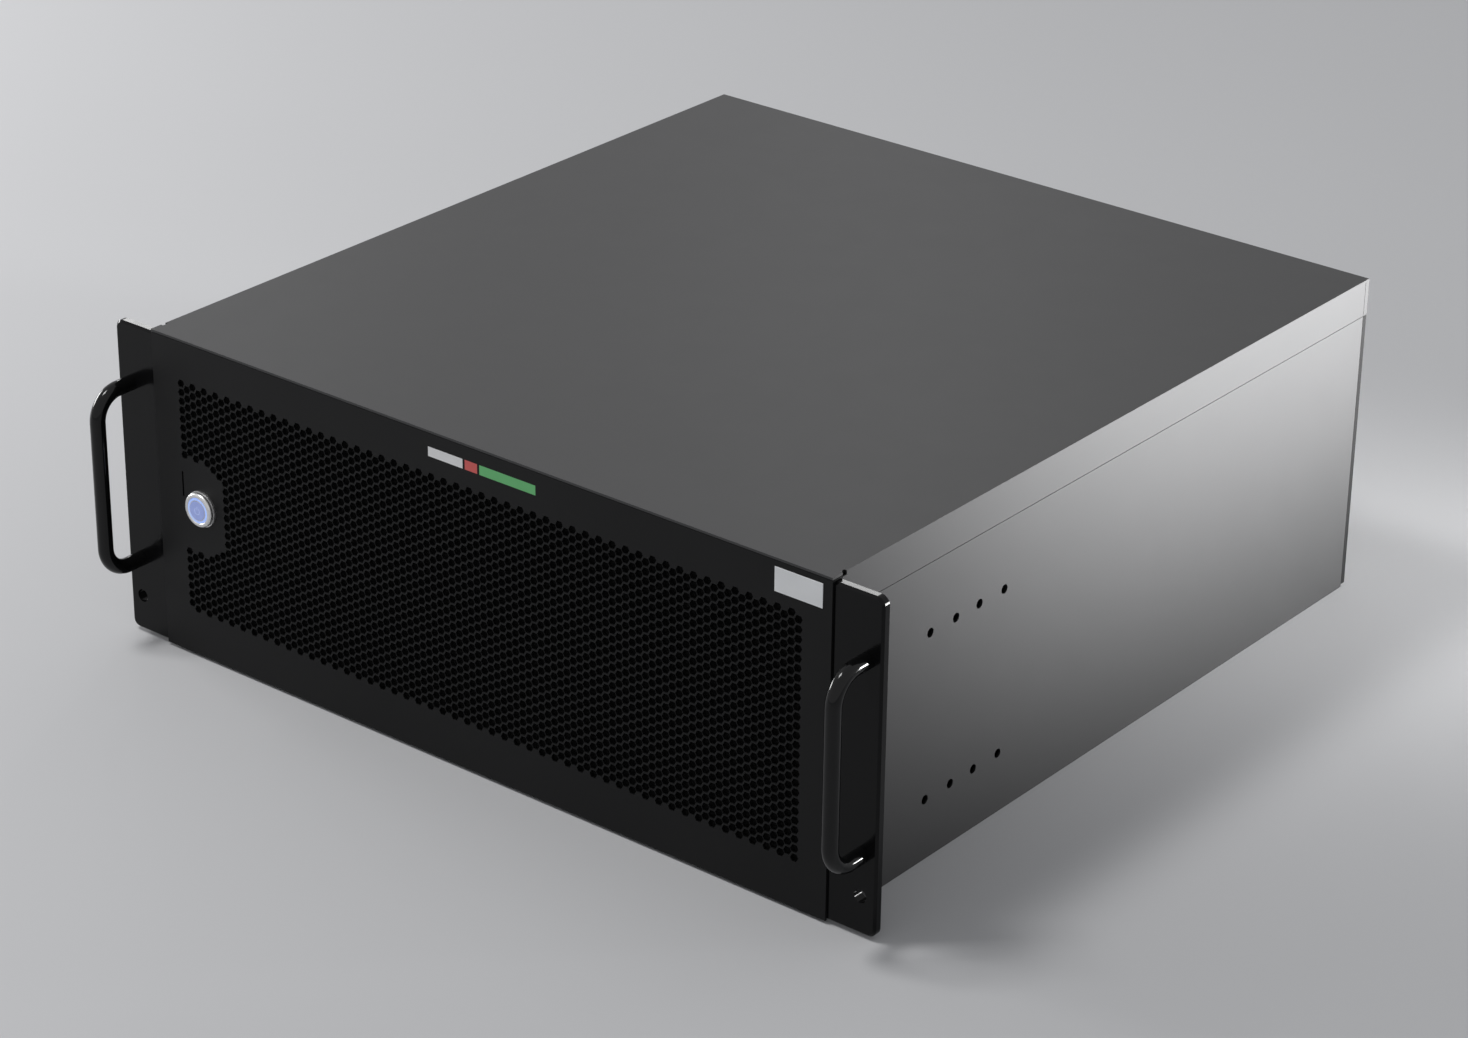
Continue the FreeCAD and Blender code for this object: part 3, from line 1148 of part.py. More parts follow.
def supply(name, low):
    """Hot-swap supply: case with mains inlet, fan opening and latch pocket, pull handle, latch, fan rotor."""
    left = "psu_left"
    back = "body_depth"
    case = block(f"supply_{name}_box", (left, f"{left} + psu_width"), (PSU_FRONT, back),
                 (low, f"{low} + psu_height"))
    inlet = block(f"supply_{name}_inlet",
                  (f"{left} + inlet_across", f"{left} + inlet_across + inlet_width"),
                  (f"{back} - inlet_depth", f"{back} + wall"),
                  (f"{low} + inlet_low", f"{low} + inlet_low + inlet_height"))
    fan_x = f"{left} + small_fan_across"
    fan_z = f"{low} + psu_height / 2"
    duct = rod(f"supply_{name}_duct", "small_duct", (fan_x, f"{back} - small_depth", fan_z),
               "small_depth + wall")
    pocket_x = (f"{left} + latch_across - latch_room", f"{left} + latch_across + latch_width + latch_room")
    pocket = block(f"supply_{name}_pocket", pocket_x,
                   (f"{back} - latch_front - latch_room", f"{back} + wall"),
                   (f"{low} + latch_height - 7", f"{low} + psu_height + wall"))
    hollow = block(f"supply_{name}_hollow", (f"{left} + psu_wall", f"{left} + psu_width - psu_wall"),
                   (f"{PSU_FRONT} + psu_wall", f"{back} - inlet_depth - 4"),
                   (f"{low} + psu_wall", f"{low} + psu_height - psu_wall"))
    opened = cut(f"supply_{name}_opened", case, [inlet, duct, pocket, hollow])
    post = rod(f"supply_{name}_post", "latch_pin", (fan_x, f"{back} - small_depth - 1", fan_z),
               "small_depth - 1")
    pin = rod(f"supply_{name}_pin", "latch_pin",
              (f"{pocket_x[0]} - 1", f"{back} - latch_front / 2", f"{low} + latch_height"),
              "latch_width + 2 * latch_room + 2", turn=X_AXIS)
    guard = [block(f"supply_{name}_guard_{k}", centred(f"{fan_x} + {k} * 6", "guard_bar"),
                   (f"{back} - guard_bar", back),
                   centred(fan_z, "(small_duct + 1)")) for k in (-2, -1, 0, 1, 2)]
    subpart(f"supply_{name}_case", join(f"supply_{name}_shell", [opened, post, pin] + guard))

    bow = new_body(f"supply_{name}_bow")
    top = f"{low} + psu_height - 5"
    bottom = f"{low} + 5"
    reach = f"{back} + pull_reach"
    outline = [(back, bottom), (f"{reach} - 4", bottom), (reach, f"{bottom} + 4"), (reach, f"{top} - 4"),
               (f"{reach} - 4", top), (back, top), (back, f"{top} - pull_bar"),
               (f"{reach} - 5.5", f"{top} - pull_bar"),
               (f"{reach} - pull_bar", f"{top} - 5.5"), (f"{reach} - pull_bar", f"{bottom} + 5.5"),
               (f"{reach} - 5.5", f"{bottom} + pull_bar"), (back, f"{bottom} + pull_bar")]
    profile = sketch(bow, f"supply_{name}_bow_outline", "YZ_Plane", [outline],
                     offset=f"{left} + pull_across")
    pad(bow, profile, "pull_width")
    subpart(f"supply_{name}_pull", bow)

    x = (f"{left} + latch_across", f"{left} + latch_across + latch_width")
    middle = f"{low} + latch_height"
    lever = block(f"latch_{name}_lever", x, (f"{back} - latch_front", f"{back} + latch_reach"),
                  centred(middle, "latch_thick"))
    pad_end = block(f"latch_{name}_pad", x, (f"{back} + latch_reach - 3", f"{back} + latch_reach"),
                    (f"{middle} - latch_thick / 2", f"{middle} + latch_thick / 2 + 2.5"))
    tooth = block(f"latch_{name}_tooth", x, (f"{back} - latch_front", f"{back} - latch_front + 3"),
                  (middle, f"{middle} + latch_thick / 2 + 2.5"))
    eye = rod(f"latch_{name}_eye", "latch_pin + 3", (x[0], f"{back} - latch_front / 2", middle),
              "latch_width", turn=X_AXIS)
    whole = join(f"latch_{name}_solid", [lever, pad_end, tooth, eye])
    hole = rod(f"latch_{name}_hole", "latch_pin + 2 * shaft_fit",
               (f"{x[0]} - 1", f"{back} - latch_front / 2", middle), "latch_width + 2", turn=X_AXIS)
    subpart(f"supply_{name}_latch", cut(f"latch_{name}", whole, [hole]))


def supply_rotor(name, low):
    """The small fan of a supply, on a post of the case."""
    depth = value("small_long")
    hub, tip = value("small_hub"), value("small_tip")
    axis = FreeCAD.Vector(0, 1, 0)
    solid = Part.makeCylinder(hub / 2, depth, FreeCAD.Vector(0, 0, 0), axis)
    wings = rotor_wings(hub, tip, depth, 1.0, 5, value("small_chord"), value("small_blade"))
    solid = solid.fuse(wings)
    before = FreeCAD.Vector(0, -1, 0)
    solid = solid.cut(Part.makeCylinder(value("latch_pin") / 2 + value("shaft_fit"), 2 * depth, before,
                                        axis))
    solid = solid.common(Part.makeCylinder(tip / 2, 2 * depth, before, axis)).removeSplitter()
    formed(f"supply_{name}_rotor", solid, "psu_left + small_fan_across", "body_depth - small_depth + 1",
           f"{low} + psu_height / 2")


# Drives

def drives():
    """Open sheet cage on the floor with flat drives on its rails."""
    left = "psu_left"
    right = "psu_left + drive_width + 2 * gap"
    along = ("drive_front", "drive_front + drive_length")
    count = 4
    top = f"wall + cage_wall + {count} * drive_pitch"
    outer = block("drive_outer", (f"{left} - cage_wall", f"{right} + cage_wall"), along,
                  ("wall", f"{top} + cage_wall"))
    room = block("drive_room", (left, right), (f"{along[0]} - wall", f"{along[1]} + wall"),
                 ("wall + cage_wall", top))
    shell = cut("drive_shell", outer, [room])
    pieces = [shell]
    units = []
    for number in range(count):
        low = f"wall + cage_wall + {number} * drive_pitch + 3"
        for side, (x0, x1) in (("left", (left, f"{left} + 4")), ("right", (f"{right} - 4", right))):
            pieces.append(block(f"drive_rail_{number}_{side}", (x0, x1), along,
                                (f"{low} - drive_gap - 1", f"{low} - drive_gap")))
        units.append(block(f"drive_{number}", (f"{left} + gap", f"{right} - gap"),
                           (f"{along[0]} + 1", f"{along[1]} - 1"),
                           (low, f"{low} + drive_height")))
    subpart("drive_cage", join("drive_cage_sheet", pieces))
    subpart("drives", group("drive_set", units))


# Cover

def top_cover():
    """Folded cover: top, side flanges down to the seam, rear lip with side tabs, relief notches in front."""
    body = new_body("cover")
    height = "body_height"
    outside = [(INNER, SEAM), (HALF, SEAM), (HALF, height)]
    inside = [(INNER, f"{height} - wall")]
    right = [inside[0], outside[0], outside[1], outside[2]]
    left = [(f"-({x})", z) for x, z in reversed(right)]
    profile = sketch(body, "cover_section", "XZ_Plane", [right + left], offset=f"-({EAR_BACK} + gap)")
    pad(body, profile, f"{TRAY_BACK} - ({EAR_BACK} + gap)", towards_back=True)
    across = (f"-({HALF})", HALF)
    sheet_top = (f"{height} - wall", height)
    pieces = [body, block("cover_top", across, ("0", "body_depth"), sheet_top),
              block("cover_lip", across, (REAR_INNER, "body_depth"), (SEAM, height))]
    for side, span in (("left", (f"-({HALF})", f"-({INNER})")), ("right", (INNER, HALF))):
        pieces.append(block(f"cover_tab_{side}", span, (f"{TRAY_BACK} + gap", "body_depth"),
                            (SEAM, height)))
    whole = join("cover_folded", pieces)
    relief = []
    for side, span in (("left", (f"-({HALF} + wall)", f"-({INNER} - gap)")),
                       ("right", (f"{INNER} - gap", f"{HALF} + wall"))):
        relief.append(block(f"cover_relief_{side}", span, (f"{EAR_BACK} + gap", f"{EAR_BACK} + notch_long"),
                            (f"{height} - notch_deep", f"{height} + wall")))
    for number in (-1, 0, 1):
        relief.append(rod(f"cover_hole_{number + 1}", "screw_bar + screw_fit",
                          (f"{number} * knob_pitch", f"{REAR_INNER} - 1", "knob_height"), "4 * wall"))
    subpart("top_cover", cut("cover_finished", whole, relief))


def thumb_screws():
    """Captive thumbscrews in the cover's rear lip."""
    screws = []
    for number in (-1, 0, 1):
        x = f"{number} * knob_pitch"
        knob = rod(f"knob_{number + 1}", "knob", (x, "body_depth", "knob_height"), "knob_length")
        shank = rod(f"knob_shank_{number + 1}", "screw_bar", (x, "body_depth - knob_shank", "knob_height"),
                    "knob_shank + wall")
        screws.append(join(f"thumb_{number + 1}", [knob, shank]))
    subpart("thumb_screws", group("thumb_set", screws))


chassis_tray()
rear_panel()
front_panel()
for side_name, side_sign in (("left", "-1"), ("right", "1")):
    rack_ear(side_name, side_sign)
    handle(side_name, side_sign)
ear_screws()
power_button()
dust_filter()
fans()
motherboard()
processor()
memory()
expansion_slots()
power_sockets()
rear_ports()
for card in range(CARDS):
    graphics_card(card)
slot_screws()
card_support()
supply_cage()
for supply_name, supply_low in SUPPLY_HEIGHTS.items():
    supply(supply_name, supply_low)
    supply_rotor(supply_name, supply_low)
drives()
top_cover()
thumb_screws()

doc.recompute()
for thing in doc.Objects:
    if "Invalid" in thing.State or "Error" in thing.State:
        raise RuntimeError(f"{thing.Name} ({thing.Label}) has failed: {thing.State}")
for thing in SUBPARTS:
    if thing.Shape.isNull() or not thing.Shape.isValid() or not thing.Shape.Solids:
        raise RuntimeError(f"{thing.Label} has no valid solid")
os.makedirs("parts", exist_ok=True)
for thing in SUBPARTS:
    thing.Shape.exportStep(f"parts/{thing.Label}.step")
print(len(SUBPARTS), "sub-parts written")
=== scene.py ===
"""Looks of the rack server: materials, fine details, stage, lamps and camera round the CAD nodes.

Metres, +Z up, +X to the right and +Y to the back seen from the front panel. A small detail is given
by a place in metres, and by offsets and sizes in millimetres.
"""

import math
import random

import bmesh
import bpy
from mathutils import Matrix, Vector

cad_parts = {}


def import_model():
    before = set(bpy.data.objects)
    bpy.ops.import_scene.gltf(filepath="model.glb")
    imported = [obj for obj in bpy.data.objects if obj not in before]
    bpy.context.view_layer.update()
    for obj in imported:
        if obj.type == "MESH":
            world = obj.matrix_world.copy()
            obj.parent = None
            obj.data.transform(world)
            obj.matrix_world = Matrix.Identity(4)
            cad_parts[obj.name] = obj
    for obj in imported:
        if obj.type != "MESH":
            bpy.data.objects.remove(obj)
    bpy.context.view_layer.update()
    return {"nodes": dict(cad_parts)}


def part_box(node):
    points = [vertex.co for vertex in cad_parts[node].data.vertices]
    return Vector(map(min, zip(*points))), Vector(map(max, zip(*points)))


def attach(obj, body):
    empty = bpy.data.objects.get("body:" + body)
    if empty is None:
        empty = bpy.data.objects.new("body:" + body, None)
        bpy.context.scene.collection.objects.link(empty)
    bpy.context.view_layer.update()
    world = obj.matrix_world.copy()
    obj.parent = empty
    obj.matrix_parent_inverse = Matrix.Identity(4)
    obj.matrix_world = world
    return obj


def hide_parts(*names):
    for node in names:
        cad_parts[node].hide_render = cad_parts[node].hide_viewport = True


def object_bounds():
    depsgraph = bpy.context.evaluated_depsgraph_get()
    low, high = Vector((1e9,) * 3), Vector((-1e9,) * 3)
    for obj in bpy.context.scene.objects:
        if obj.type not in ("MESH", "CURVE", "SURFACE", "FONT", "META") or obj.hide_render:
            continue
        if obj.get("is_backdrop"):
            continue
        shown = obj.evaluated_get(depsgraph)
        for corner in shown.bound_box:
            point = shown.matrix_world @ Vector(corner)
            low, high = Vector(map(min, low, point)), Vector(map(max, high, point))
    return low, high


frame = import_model()
nodes = frame["nodes"]
MM = 0.001
CARDS = (1, 2, 3, 4)
SUPPLIES = ("lower", "upper")
FANS = ("left", "middle", "right")

# Places read from the frame

PANEL_LOW, PANEL_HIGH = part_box("front_panel")
FACE = PANEL_LOW.y
HALF = PANEL_HIGH.x
HOUSING_LOW, HOUSING_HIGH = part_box("button_housing")
BUTTON = Vector(((HOUSING_LOW.x + HOUSING_HIGH.x) / 2, FACE, (HOUSING_LOW.z + HOUSING_HIGH.z) / 2))
CAP_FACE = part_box("button_cap")[0].y

# The front sheet, with the return bends along its upper and lower edge

SHEET = 1.2 * MM
TOP_BEND = 6.7 * MM
LOW_BEND = 13.2 * MM
LOW_BEND_INSET = 1.5 * MM
BUTTON_HOLE = 8.1 * MM
BUTTON_HOLE_SIDES = 48
SLIT_LEFT, SLIT_RIGHT = -197.15 * MM, -196.05 * MM
SLIT_LOW, SLIT_HIGH = 89.5 * MM, 103.3 * MM

# Perforation of the real panel: columns of hexagons, each second one half a row lower

ROW = 4.870 * MM
COLUMN = 4.018 * MM
COLUMNS = 98
ROWS = 26
FIRST_HOLE = (-194.3 * MM, 151.95 * MM)
SIDE_SHARES = (0.94, 0.82, 0.81)
PLAIN_RIGHT = -168.2 * MM
PLAIN_BEND = -182.2 * MM
PLAIN_LOW, PLAIN_HIGH = 61.8 * MM, 110.6 * MM

# The button's cap

CAP_RADIUS = 5.15 * MM
SYMBOL_RADIUS, SYMBOL_LINE = 1.75 * MM, 0.5 * MM

# Meshes: points that round to the same step of a metre are one, and solids are sorted by rounded places

POINT_STEPS = 1e6
SORT_DIGITS = 4
SHARP_ANGLE = math.radians(35)


# Node materials

class Shader:
    """A principled material that is put together step by step."""

    def __init__(self, name, color, roughness, metallic=0.0, specular=0.5):
        self.material = bpy.data.materials.new(name)
        self.material.use_nodes = True
        self.tree = self.material.node_tree
        self.shader = next(n for n in self.tree.nodes if n.type == "BSDF_PRINCIPLED")
        self.base = color
        self.roughness = roughness
        self.set("Base Color", (*color, 1.0))
        self.set("Roughness", roughness)
        self.set("Metallic", metallic)
        self.set("Specular IOR Level", specular)
        self.where = self.node("ShaderNodeTexCoord").outputs["Object"]

    def node(self, kind, **values):
        """A new node; values go to its inputs, or else to its properties."""
        made = self.tree.nodes.new(kind)
        for key, entry in values.items():
            if key in made.inputs:
                made.inputs[key].default_value = entry
            else:
                setattr(made, key, entry)
        return made

    def link(self, out, into):
        self.tree.links.new(out, into)

    def set(self, socket, entry):
        self.shader.inputs[socket].default_value = entry

    def noise(self, scale, detail=3.0, stretch=(1, 1, 1)):
        mapping = self.node("ShaderNodeMapping", Scale=stretch)
        self.link(self.where, mapping.inputs["Vector"])
        texture = self.node("ShaderNodeTexNoise", Scale=scale, Detail=detail, Roughness=0.55)
        self.link(mapping.outputs["Vector"], texture.inputs["Vector"])
        return texture.outputs["Fac"]

    def cells(self, scale):
        """How far a point is from the middle of its cell."""
        texture = self.node("ShaderNodeTexVoronoi", Scale=scale)
        self.link(self.where, texture.inputs["Vector"])
        return texture.outputs["Distance"]

    def spread(self, factor, low, high):
        """The middle part of a factor, remapped to a range."""
        remap = self.node("ShaderNodeMapRange", **{"From Min": 0.3, "From Max": 0.7,
                                                   "To Min": low, "To Max": high})
        self.link(factor, remap.inputs["Value"])
        return remap.outputs["Result"]

    def tint(self, factor, other):
        """Mixes the base colour with another one."""
        mix = self.node("ShaderNodeMix", data_type="RGBA")
        mix.inputs["A"].default_value = (*self.base, 1.0)
        mix.inputs["B"].default_value = (*other, 1.0)
        self.link(factor, mix.inputs["Factor"])
        self.link(mix.outputs["Result"], self.shader.inputs["Base Color"])

    def vary_roughness(self, factor, amount):
        self.link(self.spread(factor, self.roughness - amount, self.roughness + amount),
                  self.shader.inputs["Roughness"])

    def bump(self, height, strength, distance):
        made = self.node("ShaderNodeBump", Strength=strength, Distance=distance)
        self.link(height, made.inputs["Height"])
        self.link(made.outputs["Normal"], self.shader.inputs["Normal"])


def shade(color, times, plus=0.0):
    """A lighter or darker colour."""
    return tuple(min(1.0, c * times + plus) for c in color)


def painted(name, color, roughness, specular, grain=0.12):
    """Smooth powder paint on sheet steel."""
    paint = Shader(name, color, roughness, specular=specular)
    paint.tint(paint.spread(paint.noise(9.0), 0.0, 0.6), shade(color, 1.25, 0.002))
    paint.vary_roughness(paint.noise(55.0), amount=0.02)
    paint.bump(paint.noise(1400.0, detail=2.0), strength=grain, distance=0.00006)
    return paint.material


def satin_body():
    """Dark metallic satin coat of the cover and sides, which mirrors a lamp softly."""
    coat = Shader("satin_metallic_coat", (0.070, 0.070, 0.071), 0.46, metallic=0.92)
    coat.tint(coat.spread(coat.noise(11.0), 0.0, 0.4), (0.072, 0.072, 0.073))
    coat.vary_roughness(coat.noise(60.0), amount=0.006)
    coat.bump(coat.noise(1500.0, detail=2.0), strength=0.05, distance=0.00005)
    return coat.material


def handle_gloss():
    """Deep black gloss of the handles."""
    coat = Shader("handle_gloss", (0.0035, 0.0035, 0.0037), 0.10, specular=0.30)
    coat.tint(coat.spread(coat.noise(40.0), 0.0, 0.4), (0.006, 0.006, 0.0062))
    coat.vary_roughness(coat.noise(120.0), amount=0.02)
    coat.bump(coat.noise(60.0, detail=1.0), strength=0.02, distance=0.0001)
    return coat.material


def brushed(name, color, roughness, strength, along=(1, 1, 1)):
    """Metal with a fine grain, drawn out where the scale along an axis is small."""
    metal = Shader(name, color, roughness, metallic=1.0)
    lines = metal.noise(600.0, detail=4.0, stretch=along)
    metal.tint(metal.spread(lines, 0.0, 0.35), shade(color, 0.8))
    metal.vary_roughness(lines, amount=0.05)
    metal.bump(lines, strength, distance=0.00003)
    return metal.material


def zinc(name):
    """Galvanised sheet with faint spangle."""
    metal = Shader(name, (0.47, 0.48, 0.49), 0.52, metallic=1.0)
    metal.tint(metal.spread(metal.cells(120.0), 0.0, 0.5), (0.40, 0.41, 0.43))
    metal.vary_roughness(metal.noise(140.0), amount=0.05)
    metal.bump(metal.noise(700.0), strength=0.05, distance=0.00004)
    return metal.material


def plastic(name, color, roughness, grain=0.1):
    """Moulded plastic with a fine grain."""
    moulded = Shader(name, color, roughness)
    moulded.tint(moulded.spread(moulded.noise(30.0), 0.0, 0.5), shade(color, 1.2, 0.003))
    moulded.vary_roughness(moulded.noise(200.0), amount=0.04)
    moulded.bump(moulded.noise(1800.0, detail=2.0), strength=grain, distance=0.00008)
    return moulded.material


def circuit(name):
    """Circuit board: solder mask with lighter lines between its fields."""
    mask = Shader(name, (0.012, 0.045, 0.028), 0.38)
    brick = mask.node("ShaderNodeTexBrick", **{"Scale": 260.0, "Mortar Size": 0.04})
    mask.link(mask.where, brick.inputs["Vector"])
    mask.tint(brick.outputs["Fac"], (0.03, 0.10, 0.055))
    mask.bump(brick.outputs["Fac"], strength=0.2, distance=0.00004)
    mask.vary_roughness(mask.noise(300.0), amount=0.05)
    return mask.material


def foam(name):
    """Open filter foam."""
    pad = Shader(name, (0.006, 0.006, 0.006), 0.95, specular=0.1)
    pores = pad.cells(900.0)
    pad.tint(pad.spread(pores, 0.0, 1.0), (0.001, 0.001, 0.001))
    pad.bump(pores, strength=0.9, distance=0.0006)
    return pad.material


def glowing(name, color, strength):
    """Lit plastic with a slight unevenness."""
    lit = Shader(name, color, 0.3)
    lit.tint(lit.spread(lit.noise(400.0), 0.0, 0.4), shade(color, 1.3, 0.05))
    lit.set("Emission Color", (*color, 1.0))
    lit.set("Emission Strength", strength)
    return lit.material


FRONT_PAINT = painted("front_black_paint", (0.0065, 0.0065, 0.0067), 0.42, specular=0.16)
SIDE_PAINT = satin_body()
EAR_PAINT = painted("ear_black_anodised", (0.0030, 0.0030, 0.0032), 0.15, specular=0.17, grain=0.02)
HANDLE_GLOSS = handle_gloss()
ZINC = zinc("galvanised_sheet")
BLACK_PLASTIC = plastic("black_plastic", (0.018, 0.018, 0.018), 0.5)
SOCKET_PLASTIC = plastic("socket_plastic", (0.03, 0.03, 0.032), 0.42)
LATCH_PLASTIC = plastic("latch_plastic", (0.05, 0.16, 0.11), 0.42)
CIRCUIT = circuit("solder_mask")
ALUMINIUM = brushed("bare_aluminium", (0.72, 0.73, 0.74), 0.32, along=(1, 0.05, 1), strength=0.2)
STAINLESS = brushed("turned_stainless", (0.80, 0.80, 0.80), 0.34, strength=0.03)
FOAM = foam("filter_foam")
BLUE_LIGHT = glowing("blue_light", (0.36, 0.50, 0.95), 0.50)
FROSTED_FACE = glowing("frosted_face", (0.24, 0.30, 0.58), 0.40)
SYMBOL_LIGHT = glowing("symbol_light", (0.30, 0.36, 0.60), 0.55)
CHIP = plastic("chip_black", (0.012, 0.012, 0.013), 0.34, grain=0.03)
COIL = plastic("coil_grey", (0.10, 0.10, 0.105), 0.5)
CAPACITOR = brushed("capacitor_can", (0.70, 0.71, 0.72), 0.28, along=(1, 1, 0.05), strength=0.05)
CERAMIC = plastic("ceramic_tan", (0.30, 0.23, 0.16), 0.45)
GOLD = brushed("gold_contact", (0.80, 0.58, 0.24), 0.24, strength=0.03)
BRIGHT_METAL = brushed("nickel_shell", (0.66, 0.65, 0.63), 0.22, strength=0.05)
BLUE_PLASTIC = plastic("socket_blue", (0.03, 0.08, 0.30), 0.42)
GREEN_LIGHT = glowing("green_light", (0.10, 0.80, 0.22), 0.8)
BADGE = plastic("badge_white", (0.78, 0.79, 0.80), 0.4, grain=0.03)
PRINT_WHITE = plastic("print_white", (0.75, 0.75, 0.75), 0.5, grain=0.05)
PRINT_RED = plastic("print_red", (0.62, 0.10, 0.09), 0.5, grain=0.05)
PRINT_GREEN = plastic("print_green", (0.13, 0.48, 0.17), 0.5, grain=0.05)


def dress(material, *names):
    """Gives CAD nodes a material in place of their plain one."""
    for name in names:
        mesh = nodes[name].data
        mesh.materials.clear()
        mesh.materials.append(material)


def each(form, names):
    """The name of a node for each of several cards, supplies or fans."""
    return [form.format(name) for name in names]


dress(SIDE_PAINT, "chassis_tray", "top_cover")
dress(FRONT_PAINT, "rear_panel")
dress(EAR_PAINT, "left_ear", "right_ear")
dress(HANDLE_GLOSS, "left_handle", "right_handle")
dress(ZINC, "ear_screws", "fan_wall", "supply_cage", "drive_cage", "card_support", "port_shield",
      "slot_screws", "board_standoffs", *each("card_{}_bracket", CARDS), *each("supply_{}_case", SUPPLIES))
dress(STAINLESS, "button_housing", "button_cap", "button_nut", "thumb_screws")
dress(BLUE_LIGHT, "button_ring")
dress(FOAM, "dust_filter", "filter_frame")
dress(BLACK_PLASTIC, "processor_socket", *each("fan_frame_{}", FANS), *each("fan_rotor_{}", FANS),
      *each("supply_{}_pull", SUPPLIES), *each("supply_{}_rotor", SUPPLIES))
dress(SOCKET_PLASTIC, "memory_slots", "expansion_slots", "board_power_sockets")
dress(LATCH_PLASTIC, *each("supply_{}_latch", SUPPLIES))
dress(CIRCUIT, "motherboard", "power_board", "memory_modules", *each("card_{}_board", CARDS))
dress(ALUMINIUM, "heatsink", "processor", "drives", "rear_ports", *each("card_{}_cooler", CARDS))


# Mesh pieces

def piece(name, mesh, material, body="chassis", smooth=False):
    """A finished mesh as an object that rides on a body."""
    made = bpy.data.objects.new(name, mesh)
    bpy.context.scene.collection.objects.link(made)
    mesh.materials.clear()
    mesh.materials.append(material)
    if smooth:
        mesh.shade_smooth()
        mesh.set_sharp_from_angle(angle=SHARP_ANGLE)
    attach(made, body)
    return made


def to_mesh(name, work):
    mesh = bpy.data.meshes.new(name)
    work.to_mesh(mesh)
    work.free()
    return mesh


def offset(place, by):
    """A place in metres moved by millimetres."""
    return [start + step * MM for start, step in zip(place, by)]


def rectangle(left, right, low, high):
    return [(left, low), (right, low), (right, high), (left, high)]


def circle(x, z, radius, sides):
    return [(x + radius * math.cos(math.tau * k / sides), z + radius * math.sin(math.tau * k / sides))
            for k in range(sides)]


def arc(x, z, radius, start, end, steps):
    """Points on an arc, angles in degrees from +X towards +Z."""
    turns = [math.radians(start + (end - start) * k / steps) for k in range(steps + 1)]
    return [(x + radius * math.cos(turn), z + radius * math.sin(turn)) for turn in turns]


def add_box(work, low, high, bevel=0.0):
    """A box with softened edges, added to a mesh in the making."""
    low, high = Vector(low), Vector(high)
    made = bmesh.ops.create_cube(work, size=1.0)
    bmesh.ops.scale(work, vec=high - low, verts=made["verts"])
    bmesh.ops.translate(work, vec=(low + high) / 2, verts=made["verts"])
    if bevel:
        edges = dict.fromkeys(e for v in made["verts"] for e in v.link_edges)
        bmesh.ops.bevel(work, geom=list(edges), offset=bevel, segments=1, affect="EDGES")


def add_ribbon(work, path, width, front, back):
    """A flat band along a path in an upright plane, between two depths."""
    sections = []
    for k, (x, z) in enumerate(path):
        before, after = path[max(k - 1, 0)], path[min(k + 1, len(path) - 1)]
        run = Vector((after[0] - before[0], after[1] - before[1])).normalized()
        normal = Vector((-run.y, run.x)) * width / 2
        sections.append([work.verts.new((x + side * normal.x, depth, z + side * normal.y))
                         for side, depth in ((-1, front), (1, front), (1, back), (-1, back))])
    for a, b in zip(sections, sections[1:]):
        for k in range(4):
            work.faces.new([a[k], a[(k + 1) % 4], b[(k + 1) % 4], b[k]])
    work.faces.new(sections[0][::-1])
    work.faces.new(sections[-1])


def add_disc(work, x, z, radius, front, back, sides=48):
    """A disc in an upright plane, between two depths."""
    near, far = [[work.verts.new((px, depth, pz)) for px, pz in circle(x, z, radius, sides)]
                 for depth in (front, back)]
    work.faces.new(near)
    work.faces.new(far[::-1])
    for k in range(sides):
        after = (k + 1) % sides
        work.faces.new([near[k], near[after], far[after], far[k]])


class Batch:
    """Many small solids of one material on one body, made as a single mesh."""

    def __init__(self, name, material, body="chassis", smooth=False):
        self.name = name
        self.material = material
        self.body = body
        self.smooth = smooth
        self.work = bmesh.new()

    def box(self, low, high, bevel=0.0):
        """A box between two places."""
        add_box(self.work, low, high, bevel * MM)

    def box_at(self, place, low, high, bevel=0.0):
        """A box between two offsets from a place."""
        self.box(offset(place, low), offset(place, high), bevel)

    def rod(self, start, end, radius, sides=16, tip=None):
        """A round bar between two places; tip is the radius at its end."""
        start, end = Vector(start), Vector(end)
        turn = (end - start).to_track_quat("Z", "Y").to_matrix().to_4x4()
        bmesh.ops.create_cone(self.work, cap_ends=True, segments=sides, radius1=radius * MM,
                              radius2=(radius if tip is None else tip) * MM, depth=(end - start).length,
                              matrix=Matrix.Translation((start + end) / 2) @ turn)

    def rod_at(self, place, start, end, radius, sides=16, tip=None):
        """A round bar between two offsets from a place."""
        self.rod(offset(place, start), offset(place, end), radius, sides, tip)

    def done(self):
        bmesh.ops.recalc_face_normals(self.work, faces=self.work.faces)
        piece(self.name, to_mesh(self.name, self.work), self.material, body=self.body, smooth=self.smooth)


def finish(*batches):
    for batch in batches:
        batch.done()


def islands(name):
    """Boxes of the separate solids in a node, from left to right and front to back."""
    mesh = nodes[name].data
    place = nodes[name].matrix_world
    parent = list(range(len(mesh.vertices)))

    def root(i):
        while parent[i] != i:
            parent[i] = parent[parent[i]]
            i = parent[i]
        return i

    welded = {}
    for vertex in mesh.vertices:
        key = tuple(round(c * POINT_STEPS) for c in vertex.co)
        if key in welded:
            parent[root(vertex.index)] = root(welded[key])
        welded[key] = vertex.index
    for edge in mesh.edges:
        parent[root(edge.vertices[0])] = root(edge.vertices[1])
    groups = {}
    for vertex in mesh.vertices:
        groups.setdefault(root(vertex.index), []).append(place @ vertex.co)
    boxes = [[Vector([outermost(p[k] for p in group) for k in range(3)]) for outermost in (min, max)]
             for group in groups.values()]
    return sorted(boxes, key=lambda found: [round(c, SORT_DIGITS) for c in found[0]])


# The front panel and its button

